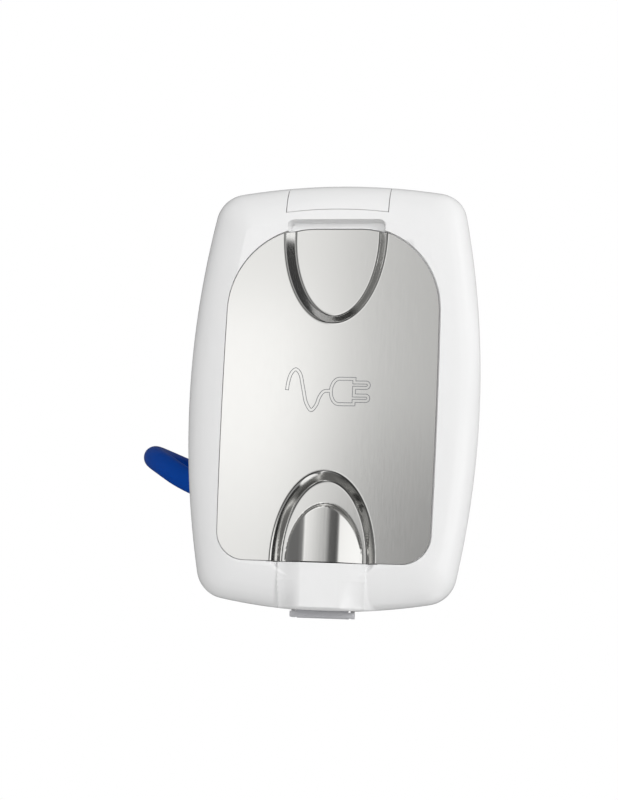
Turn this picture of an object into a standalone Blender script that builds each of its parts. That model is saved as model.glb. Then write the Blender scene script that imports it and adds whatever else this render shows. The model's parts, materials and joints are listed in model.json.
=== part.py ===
"""Recessed mains power inlet for a caravan wall.

Metres, +Z up. The wall is the plane y = 0, the front looks along -Y and the box goes back along +Y.
The origin lies on the rear face of the flange, below the pocket. Coordinates in the functions below
are measured from the lid's centre, which is CENTRE_HEIGHT above the origin.
"""

import math

import bmesh
import bpy
from mathutils import Vector

CENTRE_HEIGHT = 0.080
GAP = 0.0003
EYE_STEPS = 16

# Lid outline: a barrel with slightly bowed top and bottom
LID_HALF_WIDTH = 0.067
LID_SIDE_BOW = 0.0112
LID_TOP = 0.0974
LID_TOP_BOW = 0.0076
LID_BOTTOM = -0.0966
LID_BOTTOM_BOW = 0.0087
LID_CORNER = 0.0142
LID_MIDDLE = -0.0013
BOW_SPAN = 0.095
LID_FRONT = -0.0130
LID_REAR = -0.0036
LID_PROFILE = (
    (0.0, LID_REAR), (0.0004, -0.0056), (0.0018, -0.0078), (0.0042, -0.0097),
    (0.0072, -0.0110), (0.0105, -0.0119), (0.0145, -0.0126), (0.0178, LID_FRONT),
)

# Steel plate let into the lid
PLATE_HALF_WIDTH = 0.0492
PLATE_SIDE_BOW = 0.0015
PLATE_TOP = 0.0765
PLATE_BOTTOM = -0.0751
PLATE_TOP_CORNER = 0.0386
PLATE_BOTTOM_CORNER = 0.013
PLATE_FACE = -0.0126
PLATE_THICKNESS = 0.0011
PLATE_GAP = 0.00035

# Pressed recesses, their walls and the hump in the lower one
RECESS_FLOOR = -0.0087
RECESS_WALL = 0.0032
U_HALF_WIDTH = 0.0237
U_TOP = 0.0800
U_SHOULDER = 0.0600
U_TIP = 0.0322
ARCH_HALF_WIDTH = 0.0243
ARCH_TOP = -0.0337
ARCH_BASE = -0.0750
ARCH_END = -0.0835
HUMP_HALF_WIDTH = 0.0177
HUMP_TOP = -0.0485
HUMP_FRONT = -0.0148
BOSS_END_HALF_WIDTH = 0.0148
BOSS_END = -0.0974
TUNNEL_WALL = 0.0022
FLAP_Y = -0.0048
FLAP_Z = -0.0988
FLAP_LENGTH = 0.0092
FLAP_HALF_WIDTH = 0.0147

# Hinge
HINGE_Y = -0.0070
HINGE_Z = 0.0910
KNUCKLE_HALF_WIDTH = 0.0235
KNUCKLE_RADIUS = 0.0090
KNUCKLE_WAIST = 0.0012
KNUCKLE_GAP = 0.00035
HINGE_PIN_RADIUS = 0.00145
HINGE_PIN_HALF_LENGTH = 0.032

# Flange and box
FLANGE_FRONT = -0.0030
FLANGE_TOP = 0.0840
FLANGE_INSET = 0.0010
BOX_REAR = 0.0860
BOX_WALL = 0.0023
POCKET_HALF_WIDTH = 0.0420
POCKET_TOP = 0.0620
POCKET_BOTTOM = -0.0660
POCKET_REAR = 0.0620
CHAMBER_HALF_WIDTH = 0.0380

# Inlet on the sloping wall of the pocket
INLET_Y = 0.0410
INLET_Z = 0.03265
SLOPE_START = (0.0160, 0.0620)
SLOPE_END = (0.0620, 0.0080)
INLET_FLANGE = 0.0300
COLLAR_RADIUS = 0.0240
COLLAR_INNER = 0.0212
COLLAR_LENGTH = 0.0340
PIN_CIRCLE = 0.0120

# Cable
CABLE_DIAMETER = 0.0114
GLAND_Y = 0.0620
GLAND_Z = -0.0370
GLAND_FACE = -0.0429
COIL_CENTRE = (-0.0340, 0.1368, 0.0080)
COIL_RADIUS = 0.0570
COIL_LEAN = math.radians(25)
COIL_HALF_DEPTH = 0.0194


def clear_scene():
    for item in list(bpy.data.objects):
        bpy.data.objects.remove(item, do_unlink=True)


def make_material(name, colour, roughness, metallic=0.0):
    result = bpy.data.materials.new(name)
    result.use_nodes = True
    shader = result.node_tree.nodes["Principled BSDF"]
    shader.inputs["Base Color"].default_value = (*colour, 1.0)
    shader.inputs["Roughness"].default_value = roughness
    shader.inputs["Metallic"].default_value = metallic
    return result


def make_empty(name, place, parent=None, tilt=0.0):
    result = bpy.data.objects.new(name, None)
    bpy.context.scene.collection.objects.link(result)
    result.parent = parent
    result.location = place
    result.rotation_euler = (tilt, 0.0, 0.0)
    return result


def make_object(name, shape, finish, parent, shift=(0.0, 0.0, 0.0)):
    """Turns a bmesh into a smooth-shaded object that hangs on an empty."""
    bmesh.ops.remove_doubles(shape, verts=shape.verts, dist=1e-7)
    bmesh.ops.recalc_face_normals(shape, faces=shape.faces)
    mesh = bpy.data.meshes.new(name)
    shape.to_mesh(mesh)
    shape.free()
    mesh.shade_smooth()
    mesh.set_sharp_from_angle(angle=math.radians(32))
    result = bpy.data.objects.new(name, mesh)
    bpy.context.scene.collection.objects.link(result)
    result.parent = parent
    result.location = shift
    if finish:
        mesh.materials.append(finish)
    else:
        result.hide_render = True
        result.display_type = "WIRE"
    return result


def combine(target, other, operation):
    step = target.modifiers.new(other.name, "BOOLEAN")
    step.operation = operation
    step.object = other


def loft(rings):
    """Closed solid through rings with equal counts of points."""
    shape = bmesh.new()
    loops = [[shape.verts.new(point) for point in ring] for ring in rings]
    count = len(loops[0])
    for low, high in zip(loops, loops[1:]):
        for i in range(count):
            j = (i + 1) % count
            shape.faces.new((low[i], low[j], high[j], high[i]))
    shape.faces.new(loops[0])
    shape.faces.new(loops[-1])
    return shape


def turned(profile, steps, start=0.0):
    """Solid of revolution about local Z; a profile point is (radius, z) and the profile is closed."""
    shape = bmesh.new()
    rings = []
    for i in range(steps):
        angle = start + 2 * math.pi * i / steps
        rings.append([(r * math.cos(angle), r * math.sin(angle), z) for r, z in profile])
    loops = [[shape.verts.new(point) for point in ring] for ring in rings]
    count = len(profile)
    for i in range(steps):
        here, after = loops[i], loops[(i + 1) % steps]
        for j in range(count):
            k = (j + 1) % count
            if profile[j][0] == 0 and profile[k][0] == 0:
                continue
            shape.faces.new((here[j], here[k], after[k], after[j]))
    bmesh.ops.remove_doubles(shape, verts=shape.verts, dist=1e-7)
    bmesh.ops.dissolve_degenerate(shape, edges=shape.edges, dist=1e-7)
    return shape


def prism(profile, x_low, x_high):
    """Extrusion along X of a profile of (y, z) points."""
    return loft([[(x, y, z) for y, z in profile] for x in (x_low, x_high)])


def block(low, high):
    (x0, y0, z0), (x1, y1, z1) = low, high
    return loft([[(x, y0, z0), (x, y1, z0), (x, y1, z1), (x, y0, z1)] for x in (x0, x1)])


def rod(start, end, radius, steps=EYE_STEPS):
    """Plain cylinder between two points."""
    start, end = Vector(start), Vector(end)
    turn = (end - start).to_track_quat("Z", "Y").to_matrix()
    rings = []
    for centre in (start, end):
        ring = []
        for i in range(steps):
            angle = 2 * math.pi * i / steps
            ring.append(centre + turn @ Vector((radius * math.cos(angle), radius * math.sin(angle), 0)))
        rings.append(ring)
    return loft(rings)


def arc(centre, radius, start, end, steps):
    """Points on an arc, both ends included; angles in degrees."""
    points = []
    for i in range(steps + 1):
        angle = math.radians(start + (end - start) * i / steps)
        points.append((centre[0] + radius * math.cos(angle), centre[1] + radius * math.sin(angle)))
    return points


def rounded_box(half, low, high, radius, y, steps=4):
    """Ring in the plane y: a rectangle with round corners, centred on x = 0."""
    corners = (
        (half - radius, high - radius, 0), (radius - half, high - radius, 90),
        (radius - half, low + radius, 180), (half - radius, low + radius, 270),
    )
    ring = []
    for x, z, angle in corners:
        ring += [(px, y, pz) for px, pz in arc((x, z), radius, angle, angle + 90, steps)]
    return ring


def barrel(half, bow, top, top_bow, bottom, bottom_bow, top_corner, bottom_corner):
    """Outline with bowed sides: (x, z) points, anticlockwise from the lower right."""

    def side(z):
        return half - bow * ((z - LID_MIDDLE) / BOW_SPAN) ** 2

    def side_angle(z):
        return math.atan(2 * bow * (z - LID_MIDDLE) / BOW_SPAN ** 2)

    def corner(level, level_bow, radius, sign):
        x, z = half - radius, level - sign * radius
        for _ in range(20):
            tilt = side_angle(z)
            lean = math.atan(2 * level_bow * x / LID_HALF_WIDTH ** 2)
            end_x = x + radius * math.sin(lean)
            x = side(z + radius * math.sin(tilt)) - radius * math.cos(tilt)
            edge = level - sign * level_bow * (end_x / LID_HALF_WIDTH) ** 2
            z = edge - sign * radius * math.cos(lean)
        return x, z, math.degrees(tilt), math.degrees(lean)

    x_high, z_high, tilt_high, lean_high = corner(top, top_bow, top_corner, 1)
    x_low, z_low, tilt_low, lean_low = corner(bottom, bottom_bow, bottom_corner, -1)
    upper = arc((x_high, z_high), top_corner, tilt_high, 90 - lean_high, 6)
    lower = arc((x_low, z_low), bottom_corner, lean_low - 90, tilt_low, 6)
    right = []
    for i in range(1, 8):
        z = lower[-1][1] + (upper[0][1] - lower[-1][1]) * i / 8
        right.append((side(z), z))
    crown = []
    for i in range(1, 8):
        x = upper[-1][0] * (1 - 2 * i / 8)
        crown.append((x, top - top_bow * (x / LID_HALF_WIDTH) ** 2))
    foot = []
    for i in range(1, 8):
        x = lower[0][0] * (2 * i / 8 - 1)
        foot.append((x, bottom + bottom_bow * (x / LID_HALF_WIDTH) ** 2))
    flank = lower + right + upper
    return flank + crown + [(-x, z) for x, z in reversed(flank)] + foot


def lid_outline(inset):
    corner = LID_CORNER - 0.55 * inset
    return barrel(
        LID_HALF_WIDTH - inset, LID_SIDE_BOW, LID_TOP - inset, LID_TOP_BOW,
        LID_BOTTOM + inset, LID_BOTTOM_BOW, corner, corner,
    )


def plate_outline(grow=0.0):
    return barrel(
        PLATE_HALF_WIDTH + grow, PLATE_SIDE_BOW, PLATE_TOP + grow, 0.0,
        PLATE_BOTTOM - grow, 0.0, PLATE_TOP_CORNER + grow, PLATE_BOTTOM_CORNER + grow,
    )


def at_depth(outline, y):
    return [(x, y, z) for x, z in outline]


def u_outline(grow, top):
    """U of the upper recess, open edge at the given top."""
    half = U_HALF_WIDTH + grow
    drop = U_SHOULDER - U_TIP + grow
    points = [(half, top), (-half, top)]
    for i in range(17):
        angle = math.pi * (1 + i / 16)
        points.append((half * math.cos(angle), U_SHOULDER + drop * math.sin(angle)))
    return points


def arch_outline(grow, low):
    """Half ellipse of the lower recess with a shallow curved foot that ends at low."""
    half = ARCH_HALF_WIDTH + grow
    rise = ARCH_TOP - ARCH_BASE + grow
    points = []
    for i in range(17):
        angle = math.pi * i / 16
        points.append((half * math.cos(angle), ARCH_BASE + rise * math.sin(angle)))
    for i in range(1, 8):
        angle = math.pi * (1 + i / 8)
        points.append((half * math.cos(angle), ARCH_BASE + (ARCH_BASE - low) * math.sin(angle)))
    return points


def arch_cut_outline(grow, low):
    """The same half ellipse with straight sides down to a straight edge at low."""
    half = ARCH_HALF_WIDTH + grow
    rise = ARCH_TOP - ARCH_BASE + grow
    points = [(-half, low), (half, low)]
    for i in range(17):
        angle = math.pi * i / 16
        points.append((half * math.cos(angle), ARCH_BASE + rise * math.sin(angle)))
    return points


def recess_levels(grow=0.0):
    """(growth, y) of the pressed wall from above the plate down to the floor."""
    return (
        (0.0005 + grow, LID_FRONT - 0.0015), (0.0003 + grow, PLATE_FACE), (-0.0007 + grow, -0.0116),
        (-RECESS_WALL + 0.0010 + grow, -0.0095), (-RECESS_WALL + grow, RECESS_FLOOR),
    )


def hump_size(z):
    """Half width and height above the recess floor at height z."""
    rise = max(0.0, min(1.0, (z - ARCH_BASE) / (HUMP_TOP - ARCH_BASE)))
    half = HUMP_HALF_WIDTH * math.sqrt(max(0.0, 1 - rise ** 2))
    crest = max(0.0, (rise - 0.42) / 0.58)
    height = (RECESS_FLOOR - HUMP_FRONT) * math.sqrt(max(0.0, 1 - crest ** 2))
    if z < ARCH_BASE:
        share = (z - ARCH_BASE) / (BOSS_END - ARCH_BASE)
        half = HUMP_HALF_WIDTH + (BOSS_END_HALF_WIDTH - HUMP_HALF_WIDTH) * share
    return half, height


def hump_ring(z, wall, base):
    """Section of the hump at z, wall thinner than its outside, closed along y = base."""
    half, height = hump_size(z)
    half = max(half - wall, 0.0004)
    height = max(height - wall, 0.0002)
    ring = [(half, base, z)]
    for i in range(13):
        angle = math.pi * i / 12
        x = half * math.copysign(abs(math.cos(angle)) ** 0.62, math.cos(angle))
        ring.append((x, RECESS_FLOOR - height * math.sin(angle) ** 0.62, z))
    ring.append((-half, base, z))
    return ring


def hump(levels, wall, base):
    return loft([hump_ring(z, wall, base) for z in levels])


HUMP_LEVELS = [HUMP_TOP - 0.0001, -0.0490, -0.0500, -0.0520, -0.0550, -0.0590, -0.0640, -0.0700]


def hinge_side(grow, x_half, front, rear):
    """Block below and in front of the hinge axis, slimmer in its middle, or the notch around it."""
    rings = []
    for step in range(-3, 4):
        x = x_half * step / 3
        radius = KNUCKLE_RADIUS + grow - KNUCKLE_WAIST * (1 - (step / 3) ** 2)
        ratio = (rear - HINGE_Y) / radius
        reach = math.degrees(math.acos(ratio)) if ratio < 1 else 0
        profile = [(front, 0.102), (front, HINGE_Z)]
        profile += arc((HINGE_Y, HINGE_Z), radius, 180, 360 - reach, 10)
        profile.append((rear, 0.102))
        rings.append([(x, y, z) for y, z in profile])
    return loft(rings)


def lid_loft(levels):
    return loft([at_depth(lid_outline(inset), y) for inset, y in levels])


def build_base(centre, white, rubber, steel):
    outline = [(x, min(z, FLANGE_TOP)) for x, z in lid_outline(FLANGE_INSET)]
    base = make_object(
        "base_frame", loft([at_depth(outline, FLANGE_FRONT), at_depth(outline, 0.0)]), white, centre
    )
    box = make_object("box_form", loft([
        rounded_box(POCKET_HALF_WIDTH + BOX_WALL, POCKET_BOTTOM - BOX_WALL, POCKET_TOP + BOX_WALL,
                    0.012, FLANGE_FRONT / 2),
        rounded_box(POCKET_HALF_WIDTH, -0.065, 0.061, 0.009, BOX_REAR),
    ]), None, centre)
    combine(base, box, "UNION")
    pocket = make_object("pocket_form", loft([
        rounded_box(POCKET_HALF_WIDTH, POCKET_BOTTOM, POCKET_TOP, 0.010, -0.006),
        rounded_box(POCKET_HALF_WIDTH - 0.0004, POCKET_BOTTOM, POCKET_TOP, 0.010, SLOPE_START[0]),
        rounded_box(POCKET_HALF_WIDTH - 0.0008, -0.064, 0.0456, 0.010, 0.030),
        rounded_box(POCKET_HALF_WIDTH - 0.0018, 0.0, SLOPE_END[1], 0.003, POCKET_REAR),
    ]), None, centre)
    combine(base, pocket, "DIFFERENCE")
    chamber = make_object("chamber_form", loft([
        rounded_box(CHAMBER_HALF_WIDTH, -0.059, 0.055, 0.014, 0.0646),
        rounded_box(CHAMBER_HALF_WIDTH, -0.059, 0.055, 0.014, BOX_REAR + 0.004),
    ]), None, centre)
    combine(base, chamber, "DIFFERENCE")
    upper_wedge = make_object("upper_wedge_form", loft([
        rounded_box(CHAMBER_HALF_WIDTH - 0.001, 0.0485, 0.0545, 0.002, 0.0310),
        rounded_box(CHAMBER_HALF_WIDTH - 0.001, 0.0090, 0.0545, 0.002, 0.0655),
    ]), None, centre)
    combine(base, upper_wedge, "DIFFERENCE")
    lower_wedge = make_object("lower_wedge_form", loft([
        rounded_box(CHAMBER_HALF_WIDTH - 0.001, -0.0585, -0.0480, 0.002, 0.0410),
        rounded_box(CHAMBER_HALF_WIDTH - 0.001, -0.0585, -0.0005, 0.002, 0.0655),
    ]), None, centre)
    combine(base, lower_wedge, "DIFFERENCE")

    block_form = make_object(
        "knuckle_form", lid_loft(((0.0, 0.0),) + LID_PROFILE), None, centre
    )
    block_cut = make_object(
        "knuckle_cut", hinge_side(0.0, KNUCKLE_HALF_WIDTH, -0.016, 0.0), None, centre
    )
    combine(block_form, block_cut, "INTERSECT")
    combine(base, block_form, "UNION")
    axis_low = (-KNUCKLE_HALF_WIDTH - 0.002, HINGE_Y, HINGE_Z)
    axis_high = (KNUCKLE_HALF_WIDTH + 0.002, HINGE_Y, HINGE_Z)
    bore = make_object("knuckle_bore", rod(axis_low, axis_high, HINGE_PIN_RADIUS + GAP), None, centre)
    combine(base, bore, "DIFFERENCE")
    room_ends = [(side * 0.0095, HINGE_Y, HINGE_Z) for side in (-1, 1)]
    spring_room = make_object("spring_room", rod(room_ends[0], room_ends[1], 0.0029, 20), None, centre)
    combine(base, spring_room, "DIFFERENCE")
    spring_slot = make_object(
        "spring_slot", block((-0.0090, -0.0090, 0.0800), (0.0090, -0.0048, HINGE_Z)), None, centre
    )
    combine(base, spring_slot, "DIFFERENCE")

    normal = inlet_normal()
    middle = Vector((0, INLET_Y, INLET_Z))
    inlet_hole = make_object(
        "inlet_hole", rod(middle - normal * 0.012, middle + normal * 0.01, 0.0174, 24), None, centre
    )
    combine(base, inlet_hole, "DIFFERENCE")
    gland_hole = make_object(
        "gland_hole", rod((-0.030, GLAND_Y, GLAND_Z), (-0.060, GLAND_Y, GLAND_Z), 0.0083), None, centre
    )
    combine(base, gland_hole, "DIFFERENCE")
    groove = make_object("groove_form", ring_band(0.0500, -0.0755, 0.0735, 0.0030, -0.0016, 0.002, GAP),
                         None, centre)
    combine(base, groove, "DIFFERENCE")
    make_object("wall_gasket", ring_band(0.0500, -0.0755, 0.0735, 0.0030, -0.0013, 0.0, 0.0), rubber, centre)
    seal = make_object(
        "lid_gasket", ring_band(0.0434, -0.0674, 0.0634, 0.0026, -0.0052, FLANGE_FRONT - GAP, 0.0), rubber, centre
    )
    channel = make_object(
        "cable_channel", block((-0.0120, -0.0100, -0.1000), (0.0120, -0.0012, -0.0640)), None, centre
    )
    combine(base, channel, "DIFFERENCE")
    combine(seal, channel, "DIFFERENCE")

    screws = [(side * 0.0533, z) for z in (0.0700, -0.0740) for side in (-1, 1)]
    for number, (x, z) in enumerate(screws, 1):
        hole = make_object(f"flange_hole_{number}", rod((x, -0.01, z), (x, 0.01, z), 0.0021, 12), None, centre)
        combine(base, hole, "DIFFERENCE")
        place_screw(f"flange_screw_{number}", (x, FLANGE_FRONT - GAP, z), 0.0033, 0.0018, 0.018, steel, centre)
    return base


def ring_band(half, low, high, width, y_front, y_rear, grow):
    """Flat ring with a rounded rectangular outline."""
    shape = bmesh.new()
    loops = []
    for extra, y in ((grow, y_front), (grow, y_rear), (-width - grow, y_rear), (-width - grow, y_front)):
        ring = rounded_box(half + extra, low - extra, high + extra, 0.013 + extra, y)
        loops.append([shape.verts.new(point) for point in ring])
    count = len(loops[0])
    for here, after in zip(loops, loops[1:] + loops[:1]):
        for i in range(count):
            j = (i + 1) % count
            shape.faces.new((here[i], here[j], after[j], after[i]))
    return shape


def place_screw(name, seat, head, head_height, length, finish, parent, direction=(0, 1, 0)):
    """Pan head screw whose head rests on seat and whose shank points along direction."""
    profile = [
        (0, -head_height), (head * 0.55, -head_height), (head * 0.92, -head_height * 0.55), (head, 0),
        (0.0016, 0), (0.0016, length - 0.002), (0, length),
    ]
    result = make_object(name, turned(profile, 12), finish, parent)
    result.location = seat
    result.rotation_mode = "QUATERNION"
    result.rotation_quaternion = Vector(direction).to_track_quat("Z", "Y")
    return result


def inlet_normal():
    """Unit vector out of the sloping wall, down and towards the front."""
    run = SLOPE_END[0] - SLOPE_START[0]
    drop = SLOPE_START[1] - SLOPE_END[1]
    return Vector((0, -drop, -run)).normalized()


def build_inlet(centre, blue, brass, rubber, steel, orange):
    normal = inlet_normal()
    tilt = math.atan2(-normal.y, normal.z)
    axis = make_empty("inlet_axis", (0, INLET_Y, INLET_Z), centre, tilt)
    body = make_object("inlet_body", turned([
        (0, -0.0128), (0.0170, -0.0128), (0.0170, 0.0016), (INLET_FLANGE, 0.0016), (INLET_FLANGE, 0.0044),
        (COLLAR_RADIUS, 0.0044), (COLLAR_RADIUS, COLLAR_LENGTH - 0.0006),
        (COLLAR_RADIUS - 0.0006, COLLAR_LENGTH), (COLLAR_INNER, COLLAR_LENGTH), (COLLAR_INNER, 0.0062),
        (0, 0.0062),
    ], 28), blue, axis)
    make_object("inlet_gasket", turned([
        (0.0186, GAP), (INLET_FLANGE - 0.0008, GAP), (INLET_FLANGE - 0.0008, 0.0013), (0.0186, 0.0013),
    ], 24), rubber, axis)
    keyway = make_object("keyway", block((-0.0025, -0.0228, 0.010), (0.0025, -0.0200, 0.040)), None, axis)
    combine(body, keyway, "DIFFERENCE")
    pins = (
        ("earth_pin", 0.0, -PIN_CIRCLE, 0.0029), ("live_pin", PIN_CIRCLE * 0.866, PIN_CIRCLE / 2, 0.0024),
        ("neutral_pin", -PIN_CIRCLE * 0.866, PIN_CIRCLE / 2, 0.0024),
    )
    for name, x, y, radius in pins:
        pin = make_object(name, turned([
            (0, -0.0210), (0.0034, -0.0210), (0.0034, -0.0132), (radius, -0.0132),
            (radius, 0.0275), (radius * 0.8, 0.0291), (0, 0.0300),
        ], EYE_STEPS), brass, axis)
        pin.location = (x, y, 0)
        bore = make_object(name + "_bore", rod((x, y, -0.02), (x, y, 0.012), radius + GAP), None, axis)
        combine(body, bore, "DIFFERENCE")
    for number in range(4):
        angle = math.radians(45 + 90 * number)
        x, y = 0.0272 * math.cos(angle), 0.0272 * math.sin(angle)
        hole = make_object(f"inlet_hole_{number}", rod((x, y, -0.009), (x, y, 0.008), 0.0019, 12), None, axis)
        combine(body, hole, "DIFFERENCE")
        combine(bpy.data.objects["base_frame"], hole, "DIFFERENCE")
        combine(bpy.data.objects["inlet_gasket"], hole, "DIFFERENCE")
        place_screw(f"inlet_screw_{number + 1}", (x, y, 0.0047), 0.0023, 0.0014, 0.011, steel, axis, (0, 0, -1))

    ears = []
    for side in (-1, 1):
        y = side * 0.0055
        ear = make_object(f"latch_ear_{'low' if side < 0 else 'high'}",
                          block((0.0225, y - 0.001, 0.0130), (0.0300, y + 0.001, 0.0230)), None, axis)
        combine(body, ear, "UNION")
        ears.append(ear)
    latch_place = (0.0280, 0.0, 0.0180)
    ear_bore = make_object("ear_bore", rod((0.0280, -0.008, 0.018), (0.0280, 0.008, 0.018), 0.0013, 12),
                           None, axis)
    combine(body, ear_bore, "DIFFERENCE")
    latch_axis = make_empty("latch_axis", latch_place, axis)
    lever = make_object("latch_lever", loft([
        [(x, y, z) for x, z in (
            (-0.0010, -0.0120), (0.0026, -0.0120), (0.0020, -0.0020), (0.0020, 0.0180), (0.0004, 0.0198),
            (-0.0062, 0.0198), (-0.0062, 0.0172), (-0.0012, 0.0168), (-0.0016, -0.0020),
        )] for y in (-0.0040, 0.0040)
    ]), orange, latch_axis)
    lever_bore = make_object("lever_bore", rod((0, -0.006, 0), (0, 0.006, 0), 0.0013, 12), None, latch_axis)
    combine(lever, lever_bore, "DIFFERENCE")
    make_object("latch_pin", rod((0.0280, -0.0064, 0.018), (0.0280, 0.0064, 0.018), 0.0010, 12), steel, axis)


def build_rear(centre, grey, steel):
    cover = make_object("rear_cover", loft([
        rounded_box(POCKET_HALF_WIDTH, -0.065, 0.061, 0.009, BOX_REAR + GAP),
        rounded_box(POCKET_HALF_WIDTH, -0.065, 0.061, 0.009, BOX_REAR + 0.0018),
        rounded_box(POCKET_HALF_WIDTH - 0.001, -0.064, 0.060, 0.008, BOX_REAR + 0.0028),
    ]), grey, centre)
    bridge = make_object("tie_bridge", block((-0.0395, 0.0880, 0.036), (-0.0285, 0.0943, 0.040)), None, centre)
    slot = make_object("tie_slot", block((-0.0375, 0.0891, 0.030), (-0.0305, 0.0923, 0.046)), None, centre)
    combine(cover, bridge, "UNION")
    combine(cover, slot, "DIFFERENCE")
    number = 0
    for x in (-0.0372, 0.0372):
        for z in (-0.0582, 0.0542):
            number += 1
            hole = make_object(f"cover_hole_{number}", rod((x, 0.078, z), (x, 0.095, z), 0.0019, 12), None,
                               centre)
            combine(cover, hole, "DIFFERENCE")
            combine(bpy.data.objects["base_frame"], hole, "DIFFERENCE")
            place_screw(f"cover_screw_{number}", (x, BOX_REAR + 0.0028 + GAP, z), 0.0030, 0.0016, 0.009,
                        steel, centre, (0, -1, 0))


def build_gland(centre, grey):
    """Gland on the left of the box: hexagon, dome nut and the lock nut inside."""
    axis = make_empty("gland_axis", (GLAND_FACE, GLAND_Y, GLAND_Z), centre)
    axis.rotation_euler = (0, -math.pi / 2, 0)
    bore = CABLE_DIAMETER / 2 + GAP
    body = make_object("cable_gland", turned([
        (bore, -0.0130), (0.0080, -0.0130), (0.0080, GAP), (0.0118, GAP), (0.0118, 0.0060), (0.0085, 0.0060),
        (0.0085, 0.0120), (bore, 0.0120),
    ], 18), grey, axis)
    hexagon = make_object("gland_hexagon", turned([
        (0.0060, 0.0010), (0.0122, 0.0010), (0.0122, 0.0056), (0.0060, 0.0056),
    ], 6), None, axis)
    combine(body, hexagon, "UNION")
    make_object("gland_nut", turned([
        (0.0089, 0.0065), (0.0114, 0.0065), (0.0114, 0.0150), (0.0106, 0.0185), (0.0082, 0.0218),
        (bore, 0.0226), (bore, 0.0124), (0.0089, 0.0124),
    ], 18), grey, axis)
    make_object("gland_lock_nut", turned([
        (0.0084, -0.0098), (0.0110, -0.0098), (0.0110, -0.0063), (0.0084, -0.0063),
    ], 18), grey, axis)


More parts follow.
